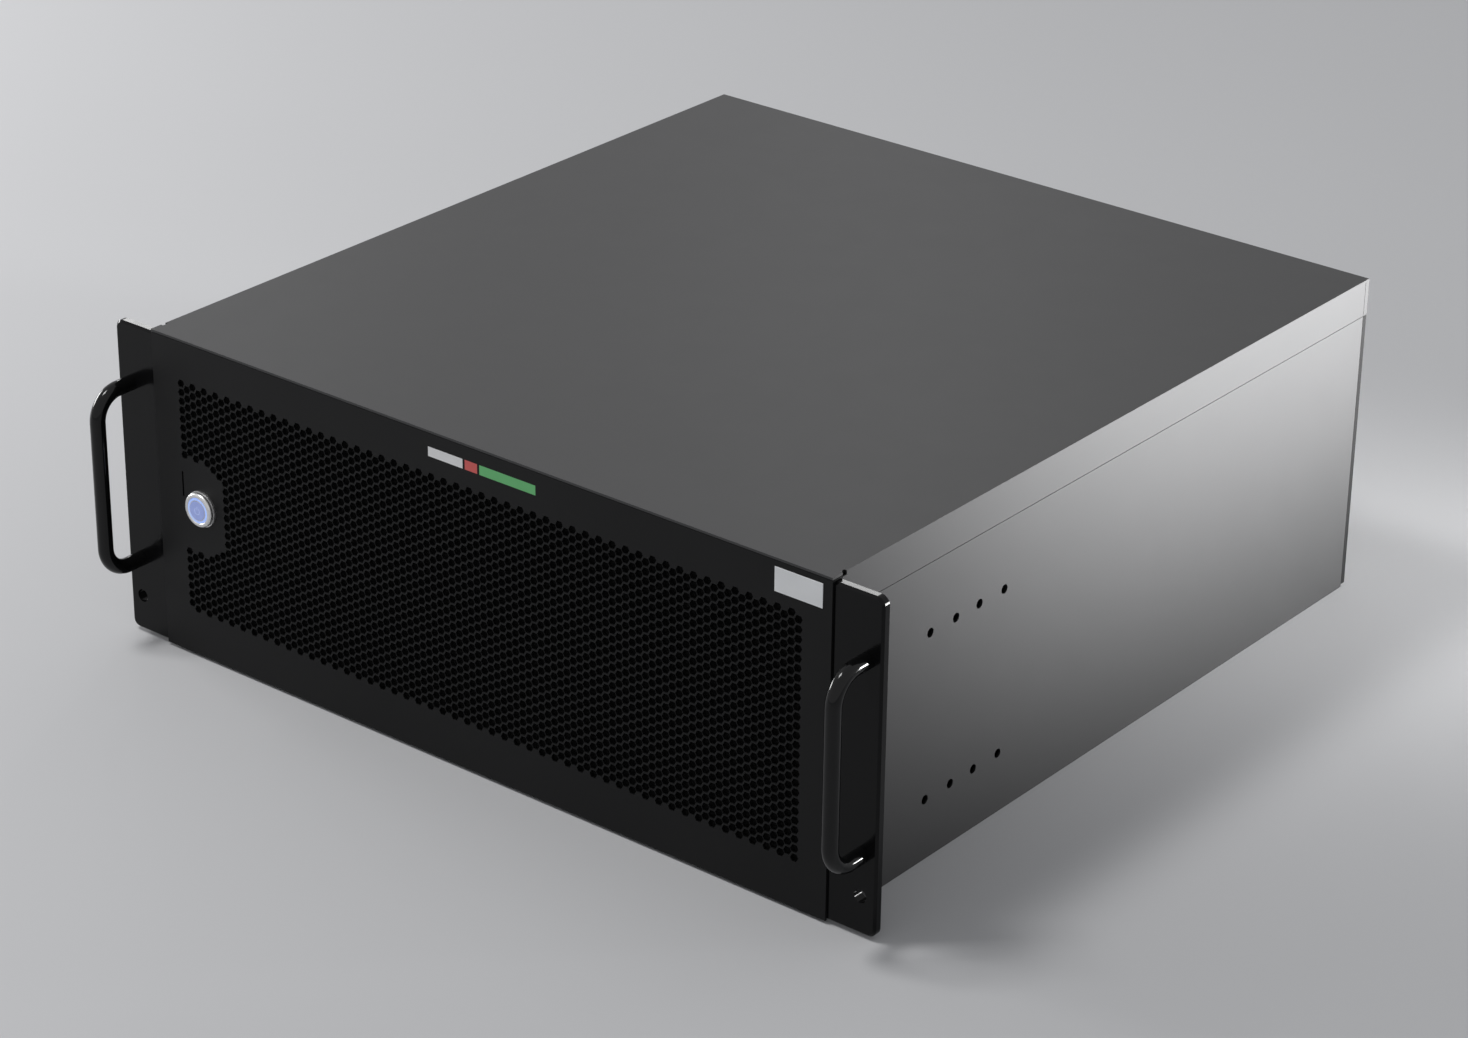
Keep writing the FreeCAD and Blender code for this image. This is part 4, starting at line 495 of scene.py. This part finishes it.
def in_plain_area(x, z):
    """Whether a hole centre lies in the plain area round the button, which has two sloping corners."""
    slope = max(0.0, x - PLAIN_BEND) * ROW / 2 / COLUMN
    return x < PLAIN_RIGHT and PLAIN_LOW + slope < z < PLAIN_HIGH - slope


def hole_centres():
    for i in range(COLUMNS):
        for k in range(ROWS):
            x = FIRST_HOLE[0] + i * COLUMN
            z = FIRST_HOLE[1] - (k + (0.5 if i % 2 else 0.0)) * ROW
            if not in_plain_area(x, z):
                yield x, z


def cell_corner(k):
    """A corner of the cell round a hole, counted from the right towards the top."""
    high = (0.0, 0.5, 0.5, 0.0, -0.5, -0.5)[k % 6]
    wide = (2, 1, -1, -2, -1, 1)[k % 6] / 3
    return Vector((wide * COLUMN, high * ROW))


def hole_corner(k):
    """Where two neighbouring sides of a hole meet.

    Each side lies at its share of the way from the hole's centre to the cell's side.
    """
    lines = []
    for side in (k - 1, k):
        start, end = cell_corner(side), cell_corner(side + 1)
        normal = Vector((end.y - start.y, start.x - end.x)).normalized()
        lines.append((normal, normal.dot(start) * SIDE_SHARES[side % 3]))
    (a, far_a), (b, far_b) = lines
    cross = a.x * b.y - a.y * b.x
    return Vector(((far_a * b.y - far_b * a.y) / cross, (a.x * far_b - b.x * far_a) / cross))


def perforated_panel():
    """The front sheet: six faces round each hole, the plain rest filled in, then made thick."""
    work = bmesh.new()
    known = {}

    def vertex(x, z):
        """The vertex of a point; one that lies within a step of it is used again."""
        key = (round(x * POINT_STEPS), round(z * POINT_STEPS))
        for dx in (-1, 0, 1):
            for dz in (-1, 0, 1):
                near = (key[0] + dx, key[1] + dz)
                if near in known:
                    return known[near]
        known[key] = work.verts.new((x, FACE, z))
        return known[key]

    def loop(points):
        ring = [work.verts.new((x, FACE, z)) for x, z in points]
        return [work.edges.new((a, b)) for a, b in zip(ring, ring[1:] + ring[:1])]

    rims = set()
    cell = [cell_corner(k) for k in range(7)]
    hole = [hole_corner(k) for k in range(7)]
    for x, z in hole_centres():
        for k in range(6):
            corners = (cell[k], cell[k + 1], hole[k + 1], hole[k])
            quad = [vertex(x + corner.x, z + corner.y) for corner in corners]
            work.faces.new(quad)
            rims.update(quad[2:])

    # The plain rest lies between the outermost cells and the outlines of sheet, button and slit
    outer = [edge for edge in work.edges if len(edge.link_faces) == 1 and not set(edge.verts) <= rims]
    low, high = PANEL_LOW.z, PANEL_HIGH.z
    outer += loop(rectangle(-HALF, HALF, low, high))
    outer += loop(circle(BUTTON.x, BUTTON.z, BUTTON_HOLE, BUTTON_HOLE_SIDES))
    outer += loop(rectangle(SLIT_LEFT, SLIT_RIGHT, SLIT_LOW, SLIT_HIGH))
    bmesh.ops.triangle_fill(work, edges=outer, use_beauty=True, normal=(0, -1, 0))
    bmesh.ops.recalc_face_normals(work, faces=work.faces)
    made = bmesh.ops.extrude_face_region(work, geom=list(work.faces))
    moved = [v for v in made["geom"] if isinstance(v, bmesh.types.BMVert)]
    bmesh.ops.translate(work, vec=(0, SHEET, 0), verts=moved)
    bmesh.ops.recalc_face_normals(work, faces=work.faces)
    add_box(work, (-HALF, FACE + SHEET, high - SHEET), (HALF, FACE + TOP_BEND, high))
    inner = HALF - LOW_BEND_INSET
    add_box(work, (-inner, FACE + SHEET, low), (inner, FACE + LOW_BEND, low + SHEET))
    panel = piece("perforated_front", to_mesh("perforated_front", work), FRONT_PAINT)
    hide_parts("front_panel")


def button_details():
    """Frosted face and lit on-and-off symbol on the moving cap."""
    face = Batch("cap_face", FROSTED_FACE, body="button")
    add_disc(face.work, BUTTON.x, BUTTON.z, CAP_RADIUS, CAP_FACE - 0.06 * MM, CAP_FACE + 0.02 * MM)
    symbol = Batch("cap_symbol", SYMBOL_LIGHT, body="button")
    open_ring = arc(BUTTON.x, BUTTON.z - 0.2 * MM, SYMBOL_RADIUS, start=125, end=415, steps=30)
    bar = [(BUTTON.x, BUTTON.z + 0.5 * MM), (BUTTON.x, BUTTON.z + 2.3 * MM)]
    for path in (open_ring, bar):
        add_ribbon(symbol.work, path, SYMBOL_LINE, CAP_FACE - 0.1 * MM, CAP_FACE - 0.05 * MM)
    finish(face, symbol)


def panel_marks():
    """A blank badge plate at the top right, and a plain stripe in three colours at the top middle."""
    badge = Batch("badge_plate", BADGE)
    badge.box_at((0, FACE, 0), (181.8, -0.35, 159.4), (208.9, -0.01, 171.7), bevel=0.12)
    badge.done()
    for name, material, left, right in (("stripe_white", PRINT_WHITE, -27.0, -5.0),
                                        ("stripe_red", PRINT_RED, -3.6, 4.2),
                                        ("stripe_green", PRINT_GREEN, 5.6, 40.5)):
        stripe = Batch(name, material)
        stripe.box_at((0, FACE, 0), (left, -0.05, 162.6), (right, -0.005, 167.6))
        stripe.done()


# Small parts on the boards, cards, supplies and fans

def board_parts():
    """Coils beside the processor, and chips, capacitors, resistors and pin headers on the motherboard."""
    low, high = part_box("motherboard")
    top = high.z
    border = 3 * MM
    taken = [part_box("processor_socket")]
    for name in ("memory_slots", "expansion_slots", "board_power_sockets", "rear_ports"):
        taken += islands(name)
    chips = Batch("board_chips", CHIP)
    coils = Batch("board_coils", COIL)
    cans = Batch("board_capacitors", CAPACITOR, smooth=True)
    small = Batch("board_resistors", CERAMIC)
    headers = Batch("board_headers", BLACK_PLASTIC)
    pins = Batch("board_pins", GOLD)
    chance = random.Random(7)
    chip_tries, can_tries, resistor_tries = 46, 70, 420
    chip_halves = ((9, 9), (6, 6), (5, 5), (4, 6), (3, 2.2), (2.5, 2.5), (7, 5))
    resistor_halves = ((0.8, 0.4), (0.4, 0.8))
    coil_pitch, leg_pitch, header_pitch, pin_pitch, pin_row = 7.6, 1.3, 16, 2.4, 1.25

    def anywhere():
        return chance.uniform(low.x, high.x), chance.uniform(low.y, high.y)

    def room(x, y, half_x, half_y, margin=1.2, claim=True):
        """Whether a part fits clear of the others; the place that it claims is taken from then on."""
        half_x, half_y, margin = half_x * MM, half_y * MM, margin * MM
        inside = (low.x + border < x - half_x and x + half_x < high.x - border
                  and low.y + border < y - half_y and y + half_y < high.y - border)
        clear = inside and not any(
            x + half_x + margin > a.x and x - half_x - margin < b.x
            and y + half_y + margin > a.y and y - half_y - margin < b.y for a, b in taken)
        if clear and claim:
            taken.append((Vector((x - half_x, y - half_y, top)), Vector((x + half_x, y + half_y, top))))
        return clear

    socket_low, socket_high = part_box("processor_socket")
    for k in range(9):
        x = socket_low.x + (4 + k * coil_pitch) * MM
        for y in (socket_low.y - 8 * MM, socket_high.y + 8 * MM):
            if room(x, y, 3.3, 3.3, margin=0.3):
                coils.box_at((x, y, top), (-3.2, -3.2, 0), (3.2, 3.2, 4.5), bevel=0.6)
    for _ in range(chip_tries):
        x, y = anywhere()
        half_x, half_y = chance.choice(chip_halves)
        if room(x, y, half_x, half_y):
            chips.box_at((x, y, top), (-half_x, -half_y, 0.1), (half_x, half_y, 1.3), bevel=0.15)
            for row in range(int(half_y * 2 / leg_pitch)):
                leg = (x, y + ((row + 0.6) * leg_pitch - half_y) * MM, top)
                pins.box_at(leg, (-half_x - 0.8, -0.25, 0), (-half_x, 0.25, 0.5))
                pins.box_at(leg, (half_x, -0.25, 0), (half_x + 0.8, 0.25, 0.5))
    for _ in range(can_tries):
        x, y = anywhere()
        if room(x, y, 3.2, 3.2):
            cans.rod_at((x, y, top), (0, 0, 0), (0, 0, 7.5), 3, sides=20)
            headers.box_at((x, y, top), (-3.2, -3.2, 0), (3.2, 3.2, 1.0), bevel=0.5)
    for _ in range(resistor_tries):
        x, y = anywhere()
        if room(x, y, 0.9, 0.9, margin=0.2, claim=False):
            half_x, half_y = chance.choice(resistor_halves)
            small.box_at((x, y, top), (-half_x, -half_y, 0), (half_x, half_y, 0.5))
    for k in range(6):
        x, y = high.x - (12 + k * header_pitch) * MM, low.y + 5 * MM
        if room(x, y, 6, 2.6, margin=0.2, claim=False):
            headers.box_at((x, y, top), (-6, -2.5, 0), (6, 2.5, 2.5))
            for i in range(-2, 3):
                for row in (-pin_row, pin_row):
                    pin = offset((x, y, top), (i * pin_pitch, row, 0))
                    pins.box_at(pin, (-0.3, -0.3, 0), (0.3, 0.3, 8))
    finish(chips, coils, cans, small, headers, pins)


def memory_chips():
    """Chips on both sides of each memory module."""
    chips = Batch("memory_chips", CHIP)
    count = 10
    for low, high in islands("memory_modules"):
        for k in range(count):
            y = low.y + (k + 0.5) * (high.y - low.y) / count
            for x, left, right in ((low.x, -0.9, 0.01), (high.x, -0.01, 0.9)):
                chips.box(offset((x, y, low.z), (left, -4.4, 12)),
                          offset((x, y, high.z), (right, 4.4, -5)), bevel=0.1)
    chips.done()


def card_parts():
    """Power socket, capacitors and chips on each graphics card, video sockets on its bracket."""
    shells = Batch("card_video_shells", BRIGHT_METAL)
    opening_shade = Batch("card_video_opening_shade", BLACK_PLASTIC)
    plugs = Batch("card_power_sockets", BLACK_PLASTIC)
    cans = Batch("card_capacitors", CAPACITOR, smooth=True)
    chips = Batch("card_chips", CHIP)
    gold = Batch("card_contacts", GOLD)
    socket_pitch, chip_pitch, pin_pitch = 18, 17, 3
    for number in CARDS:
        low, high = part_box(f"card_{number}_board")
        bracket_low, bracket_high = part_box(f"card_{number}_bracket")
        middle = (low.x + high.x) / 2
        for k in range(4):
            socket = offset((middle, bracket_high.y, bracket_low.z), (1, 0, 17 + socket_pitch * k))
            shells.box_at(socket, (-4.2, -12.0, -7.3), (4.2, -9.2, 7.3), bevel=0.6)
            # A flat black plate on the socket face: painted shade of the socket's opening round its tongue.
            opening_shade.box_at(socket, (-3.3, -9.3, -6.4), (3.3, -9.15, 6.4))
            gold.box_at(socket, (-0.7, -9.2, -5.2), (0.7, -8.9, 5.2))
        for k in range(12):
            along = 30 + chip_pitch * k
            chips.box_at(low, (-1.1, along - 4, 34), (0.01, along + 4, 44), bevel=0.1)
            cans.rod_at((low.x, low.y, high.z), (0, along + 8, -8), (-1.8, along + 8, -8), 1.8, sides=14)
        corner = (high.x, low.y, high.z)
        plugs.box_at(corner, (0, 1, -24), (7, 2.5, -4), bevel=0.3)
        for row in range(2):
            for k in range(6):
                pin = offset(corner, (2 + pin_pitch * row, 0, -6.5 - pin_pitch * k))
                gold.box_at(pin, (-0.8, 0.7, -0.8), (0.8, 1.1, 0.8))
    finish(shells, opening_shade, plugs, cans, chips, gold)


def port_parts():
    """Insulators, tongues, contacts and lights inside the sockets at the rear, with painted shade in each
    pin hole of the video socket.
    """
    blue = Batch("port_insulator_blue", BLUE_PLASTIC)
    black = Batch("port_insulators_and_hole_shade", BLACK_PLASTIC)
    gold = Batch("port_contacts", GOLD)
    lights = Batch("port_lights", GREEN_LIGHT)
    video, serial_pairs = 0, (1, 2)
    shell = 1 * MM
    video_pitch, video_row, serial_pitch, network_pitch = 2.4, 2.1, 2.2, 1.1
    for number, (low, high) in enumerate(islands("rear_ports")):
        left, right, base, top = low.x + shell, high.x - shell, low.z + shell, high.z - shell
        floor_y, mouth = low.y + 3.9 * MM, high.y - 1.5 * MM
        middle, centre = (left + right) / 2, (base + top) / 2
        if number == video:
            blue.box(offset((left, floor_y, base), (4, 0, 1.4)),
                     offset((right, mouth, top), (-4, 0, -1.4)), bevel=0.8)
            # Small black squares on the blue insulator: painted shade in each pin hole.
            for row, shift in ((-1, -0.25), (0, 0.25), (1, -0.25)):
                for k in range(-2, 3):
                    pin = offset((middle, mouth, centre), ((k + shift) * video_pitch, 0, row * video_row))
                    black.box_at(pin, (-0.45, -0.02, -0.45), (0.45, 0.03, 0.45))
            for side in (-12.2, 12.2):
                gold.rod(offset((middle, floor_y, centre), (side, 0, 0)),
                         offset((middle, high.y, centre), (side, 0.3, 0)), 1.6, sides=6)
        elif number in serial_pairs:
            for share in (0.27, 0.77):
                z = base + share * (top - base)
                black.box(offset((left, floor_y, z), (1.2, 0, -0.9)),
                          offset((right, mouth, z), (-1.2, -1, 0.9)), bevel=0.15)
                for k in range(4):
                    x = middle + (k - 1.5) * serial_pitch * MM
                    gold.box(offset((x, floor_y, z), (-0.5, 0, -1.0)),
                             offset((x, mouth, z), (0.5, -1.4, -0.88)))
            black.box(offset((left, floor_y, centre), (-0.02, 0, -0.7)),
                      offset((right, high.y, centre), (0.02, -0.2, 0.7)))
        else:
            black.box(offset((left, floor_y, base), (-0.02, -0.02, -0.02)),
                      offset((right, floor_y, top), (0.02, 0.8, 0.02)))
            for k in range(8):
                x = middle + (k - 3.5) * network_pitch * MM
                gold.box(offset((x, floor_y, top), (-0.25, 0.8, -3.4)),
                         offset((x, mouth, top), (0.25, -3, -2.9)))
            for share in (-0.38, 0.38):
                place = (middle + share * (right - left), high.y, top)
                lights.box_at(place, (-1.4, -2.2, -1.7), (1.4, -0.3, 0), bevel=0.2)
    finish(blue, black, gold, lights)


def supply_parts(name):
    """Mains pins in the inlet, a liner round them and a status light, from the case's lower left corner."""
    body = f"supply_{name}"
    case_low, case_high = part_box(f"{body}_case")
    corner = (case_low.x, case_high.y, case_low.z)
    left, right, low, high = 4, 28, 5, 23
    bottom, wall = -16, 0.28
    liner = Batch(f"{body}_liner", BLACK_PLASTIC, body=body)
    liner.box_at(corner, (left, bottom, low), (right, bottom + 0.5, high))
    for a, b in (((left, low), (left + wall, high)), ((right - wall, low), (right, high)),
                 ((left, low), (right, low + wall)), ((left, high - wall), (right, high))):
        liner.box_at(corner, (a[0], bottom, a[1]), (b[0], 0.1, b[1]))
    pins = Batch(f"{body}_pins", BRIGHT_METAL, body=body)
    for dx, dz in ((-7, -1.6), (0, 2.0), (7, -1.6)):
        x, z = (left + right) / 2 + dx, (low + high) / 2 + dz
        pins.box_at(corner, (x - 1, bottom, z - 2), (x + 1, -2.5, z + 2), bevel=0.3)
    light = Batch(f"{body}_light", GREEN_LIGHT, body=body, smooth=True)
    light.rod_at(corner, (29.6, -1, 27), (29.6, 0.5, 27), 1.2, sides=20, tip=0.8)
    finish(liner, pins, light)


def drive_parts():
    """Connector and circuit board on each drive."""
    boards = Batch("drive_boards", CIRCUIT)
    plugs = Batch("drive_plugs", BLACK_PLASTIC)
    gold = Batch("drive_contacts", GOLD)
    contact_pitch = 1.5
    for low, high in islands("drives"):
        boards.box(offset((low.x, low.y, high.z), (6, 30, 0)), offset(high, (-6, -2, 0.8)))
        back = ((low.x + high.x) / 2, high.y, low.z)
        plugs.box_at(back, (-20, -0.01, 2), (16, 0.9, 6.5), bevel=0.2)
        for k in range(22):
            x = -18.5 + k * contact_pitch
            gold.box_at(back, (x - 0.4, 0.88, 3.4), (x + 0.4, 0.95, 4.4))
    finish(boards, plugs, gold)


def knob_parts():
    """Knurled rims of the cover's thumbscrews, and on each a driver cross of thin black plates: painted
    shade in the slot's recess.
    """
    rims = Batch("thumb_knurls", STAINLESS, body="cover")
    slot_shade = Batch("thumb_slot_shade", BLACK_PLASTIC, body="cover")
    ribs = 40
    for low, high in islands("thumb_screws"):
        x, z = (low.x + high.x) / 2, (low.z + high.z) / 2
        for rib_x, rib_z in circle(x, z, (high.x - low.x) / 2, ribs):
            rims.rod_at((rib_x, high.y, rib_z), (0, -7.2, 0), (0, -0.8, 0), 0.32, sides=6)
        # Thin black plates on the screw face: painted shade where the driver slot's recess would be.
        for half_x, half_z in ((3.4, 0.5), (0.5, 3.4)):
            slot_shade.box_at((x, high.y, z), (-half_x, -0.02, -half_z), (half_x, 0.05, half_z))
    finish(rims, slot_shade)


def fan_parts():
    """Hub caps on the rotors and corner screws of the fan frames."""
    screws = Batch("fan_screws", BRIGHT_METAL, smooth=True)
    corners = (-52.5, 52.5)
    for side in FANS:
        low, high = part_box(f"fan_frame_{side}")
        x, z = (low.x + high.x) / 2, (low.z + high.z) / 2
        for dx in corners:
            for dz in corners:
                screws.rod_at((x, high.y, z), (dx, -0.5, dz), (dx, 1.6, dz), 3.6, sides=20, tip=2.6)
        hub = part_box(f"fan_rotor_{side}")[0].y
        cap = Batch(f"fan_cap_{side}", SOCKET_PLASTIC, body=f"fan_{side}", smooth=True)
        cap.rod_at((x, hub, z), (0, 0.3, 0), (0, -0.25, 0), 15.5, sides=48, tip=14.8)
        cap.done()
    screws.done()


def power_board_parts():
    """Storage capacitors, lead sockets and coils on the front of the power distribution board."""
    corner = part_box("power_board")[0]
    cans = Batch("power_capacitors", CAPACITOR, smooth=True)
    sleeves = Batch("power_sleeves", BLACK_PLASTIC, smooth=True)
    sockets = Batch("power_lead_sockets", SOCKET_PLASTIC)
    pins = Batch("power_lead_pins", GOLD)
    coils = Batch("power_coils", COIL)
    can_pitch, coil_pitch, socket_pitch, pin_pitch, pin_row = 13.4, 16, 22, 4.2, 2.2
    for k in range(5):
        can = offset(corner, (9 + can_pitch * k, 0, 70))
        sleeves.rod_at(can, (0, 0, 0), (0, -15, 0), 4.9, sides=28)
        cans.rod_at(can, (0, -14.9, 0), (0, -15.3, 0), 4.5, sides=28, tip=4.2)
    for z in (12, 28):
        for k in range(3):
            socket = offset(corner, (14 + socket_pitch * k, 0, z))
            sockets.box_at(socket, (-9, -11, -5), (9, 0, 5), bevel=0.5)
            for i in range(4):
                for row in (-pin_row, pin_row):
                    pin = offset(socket, ((i - 1.5) * pin_pitch, 0, row))
                    pins.box_at(pin, (-1.2, -11.05, -1.2), (1.2, -10.95, 1.2))
    for k in range(4):
        coil = offset(corner, (12 + coil_pitch * k, 0, 48))
        coils.box_at(coil, (-5, -7, -5), (5, 0, 5), bevel=0.9)
    finish(cans, sleeves, sockets, pins, coils)


def cage_parts():
    """Screws on the top sheets of the two cages and on the card support, with thin black plates as painted
    shade in each screw's cross recess and in each pressed slot of the sheets.
    """
    screws = Batch("cage_screws", BRIGHT_METAL, smooth=True)
    slot_shade = Batch("cage_slot_shade", BLACK_PLASTIC)

    screw_edge, screw_shares, support_pitch = 6, (0.08, 0.92), 40.6
    slot_columns, first_column, column_share, first_row, row_span = 9, 0.16, 0.085, 0.22, 0.56

    def screw(place):
        screws.rod_at(place, (0, 0, 0), (0, 0, 1.1), 2.9, sides=20, tip=2.1)

    for name, rows in (("drive_cage", 3), ("supply_cage", 4)):
        low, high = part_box(name)
        size = high - low
        for x in (low.x + screw_edge * MM, high.x - screw_edge * MM):
            for share in screw_shares:
                place = (x, low.y + share * size.y, high.z)
                screw(place)
                # A thin black cross on each screw head: painted shade of its driver recess.
                for half_x, half_y in ((1.6, 0.3), (0.3, 1.6)):
                    slot_shade.box_at(place, (-half_x, -half_y, 1.08), (half_x, half_y, 1.14))
        # Thin black plates on the top sheet: painted shade where the pressed slot openings would be.
        for row in range(rows):
            y = low.y + (first_row + row_span * row / (rows - 1)) * size.y
            for k in range(slot_columns):
                x = low.x + (first_column + column_share * k) * size.x
                slot_shade.box_at((x, y, high.z), (-1.1, -7, 0), (1.1, 7, 0.03))
    low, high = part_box("card_support")
    for k in range(4):
        screw(offset((low.x, low.y, high.z), (16 + support_pitch * k, 5, 0)))
    finish(screws, slot_shade)


def cooler_parts():
    """Screws and dark bands on top of each card's cooler."""
    screws = Batch("cooler_screws", BRIGHT_METAL, smooth=True)
    bands = Batch("cooler_bands", BLACK_PLASTIC)
    for number in CARDS:
        low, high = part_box(f"card_{number}_cooler")
        for y in (low.y + 4 * MM, high.y - 10 * MM):
            for x in (low.x + 5 * MM, high.x - 5 * MM):
                screws.rod_at((x, y, high.z), (0, 0, 0), (0, 0, 0.25), 1.7, tip=1.5)
        for y in (low.y + 22 * MM, high.y - 28 * MM):
            bands.box(offset((low.x, y, high.z), (1.2, 0, 0)), offset((high.x, y, high.z), (-1.2, 5, 0.12)))
    finish(screws, bands)


perforated_panel()
button_details()
panel_marks()
board_parts()
memory_chips()
card_parts()
port_parts()
for supply in SUPPLIES:
    supply_parts(supply)
drive_parts()
knob_parts()
fan_parts()
power_board_parts()
cage_parts()
cooler_parts()


# Stage, lamps and camera

STAGE_GREY = (0.62, 0.62, 0.63)
FLOOR_HALF = 12.0
FLOOR_GAP = 0.0002
SOFT_COLOR, SOFT_STRENGTH = (0.95, 0.97, 1.0), 0.35
CAMERA_PLACE = (1.17226, -1.48584, 0.96820)
CAMERA_AIM = (0.02940, -0.06356, 0.08800)
CAMERA_FAR = 50.0
CAMERA_ROLL = math.radians(0.62)
CAMERA_LENS = 99.537
CAMERA_SENSOR = 36.0


def floor():
    work = bmesh.new()
    bmesh.ops.create_grid(work, x_segments=2, y_segments=2, size=FLOOR_HALF)
    mesh = to_mesh("floor", work)
    made = bpy.data.objects.new("floor", mesh)
    made.location.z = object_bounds()[0][2] - FLOOR_GAP
    bpy.context.scene.collection.objects.link(made)
    surface = Shader("pale_floor", STAGE_GREY, 0.75, specular=0.2)
    surface.tint(surface.spread(surface.noise(3.0), 0.0, 0.3), (0.60, 0.60, 0.61))
    mesh.materials.append(surface.material)
    made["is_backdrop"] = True


def lamp(name, place, aim, power, size, tall=None, spread=180):
    """An area lamp that looks at a point; spread is in degrees."""
    light = bpy.data.lights.new(name, "AREA")
    light.shape = "RECTANGLE"
    light.size = size
    light.size_y = tall or size
    light.energy = power
    light.spread = math.radians(spread)
    made = bpy.data.objects.new(name, light)
    made.location = place
    made.rotation_euler = (Vector(aim) - Vector(place)).to_track_quat("-Z", "Y").to_euler()
    bpy.context.scene.collection.objects.link(made)


def world():
    """Soft light from all round, while the camera, mirrors and glass see the stage's grey."""
    made = bpy.data.worlds.new("studio")
    made.use_nodes = True
    tree = made.node_tree
    tree.nodes.clear()

    def background(color, strength):
        node = tree.nodes.new("ShaderNodeBackground")
        node.inputs["Color"].default_value = (*color, 1.0)
        node.inputs["Strength"].default_value = strength
        return node.outputs[0]

    def either(first, second):
        node = tree.nodes.new("ShaderNodeMath")
        node.operation = "MAXIMUM"
        tree.links.new(first, node.inputs[0])
        tree.links.new(second, node.inputs[1])
        return node.outputs[0]

    ray = tree.nodes.new("ShaderNodeLightPath").outputs
    direct = either(either(ray["Is Camera Ray"], ray["Is Glossy Ray"]), ray["Is Transmission Ray"])
    mix = tree.nodes.new("ShaderNodeMixShader")
    tree.links.new(direct, mix.inputs["Fac"])
    tree.links.new(background(SOFT_COLOR, SOFT_STRENGTH), mix.inputs[1])
    tree.links.new(background(STAGE_GREY, 1.0), mix.inputs[2])
    tree.links.new(mix.outputs[0], tree.nodes.new("ShaderNodeOutputWorld").inputs["Surface"])
    bpy.context.scene.world = made


def camera():
    """The photograph's viewpoint: level, then turned by a small roll."""
    place = Vector(CAMERA_PLACE)
    ahead = (Vector(CAMERA_AIM) - place).normalized()
    level = ahead.cross(Vector((0, 0, 1))).normalized()
    above = level.cross(ahead)
    right = level * math.cos(CAMERA_ROLL) + above * math.sin(CAMERA_ROLL)
    up = right.cross(ahead)
    data = bpy.data.cameras.new("photo_view")
    data.sensor_fit = "HORIZONTAL"
    data.sensor_width = CAMERA_SENSOR
    data.lens = CAMERA_LENS
    data.clip_end = CAMERA_FAR
    made = bpy.data.objects.new("photo_view", data)
    made.matrix_world = Matrix.Translation(place) @ Matrix((right, up, -ahead)).transposed().to_4x4()
    bpy.context.scene.collection.objects.link(made)
    bpy.context.scene.camera = made


floor()
world()
lamp("rear_right_low", (0.73, 0.50, 0.16), (0.214, 0.12, 0.20), power=1.60,
     size=0.40, tall=0.276, spread=31)
lamp("rear_right_strip", (0.78, 0.52, 0.14), (0.214, 0.24, 0.06), power=0.54,
     size=0.30, tall=0.20, spread=31)
lamp("top_softbox", (-0.8, -0.8, 2.5), (0.0, 0.0, 0.1), power=25.5, size=0.6)
lamp("left_softbox", (-2.2, -0.25, 0.50), (0.0, -0.2, 0.1), power=25.0, size=1.1, tall=0.40)
lamp("left_edge_light", (-2.19, 1.56, 1.28), (-0.23, -0.22, 0.17), power=1.6, size=0.22)
lamp("right_edge_light", (-1.37, 1.94, 1.51), (0.23, -0.22, 0.17), power=1.6, size=0.22)
camera()
bpy.context.scene.view_settings.view_transform = "Standard"
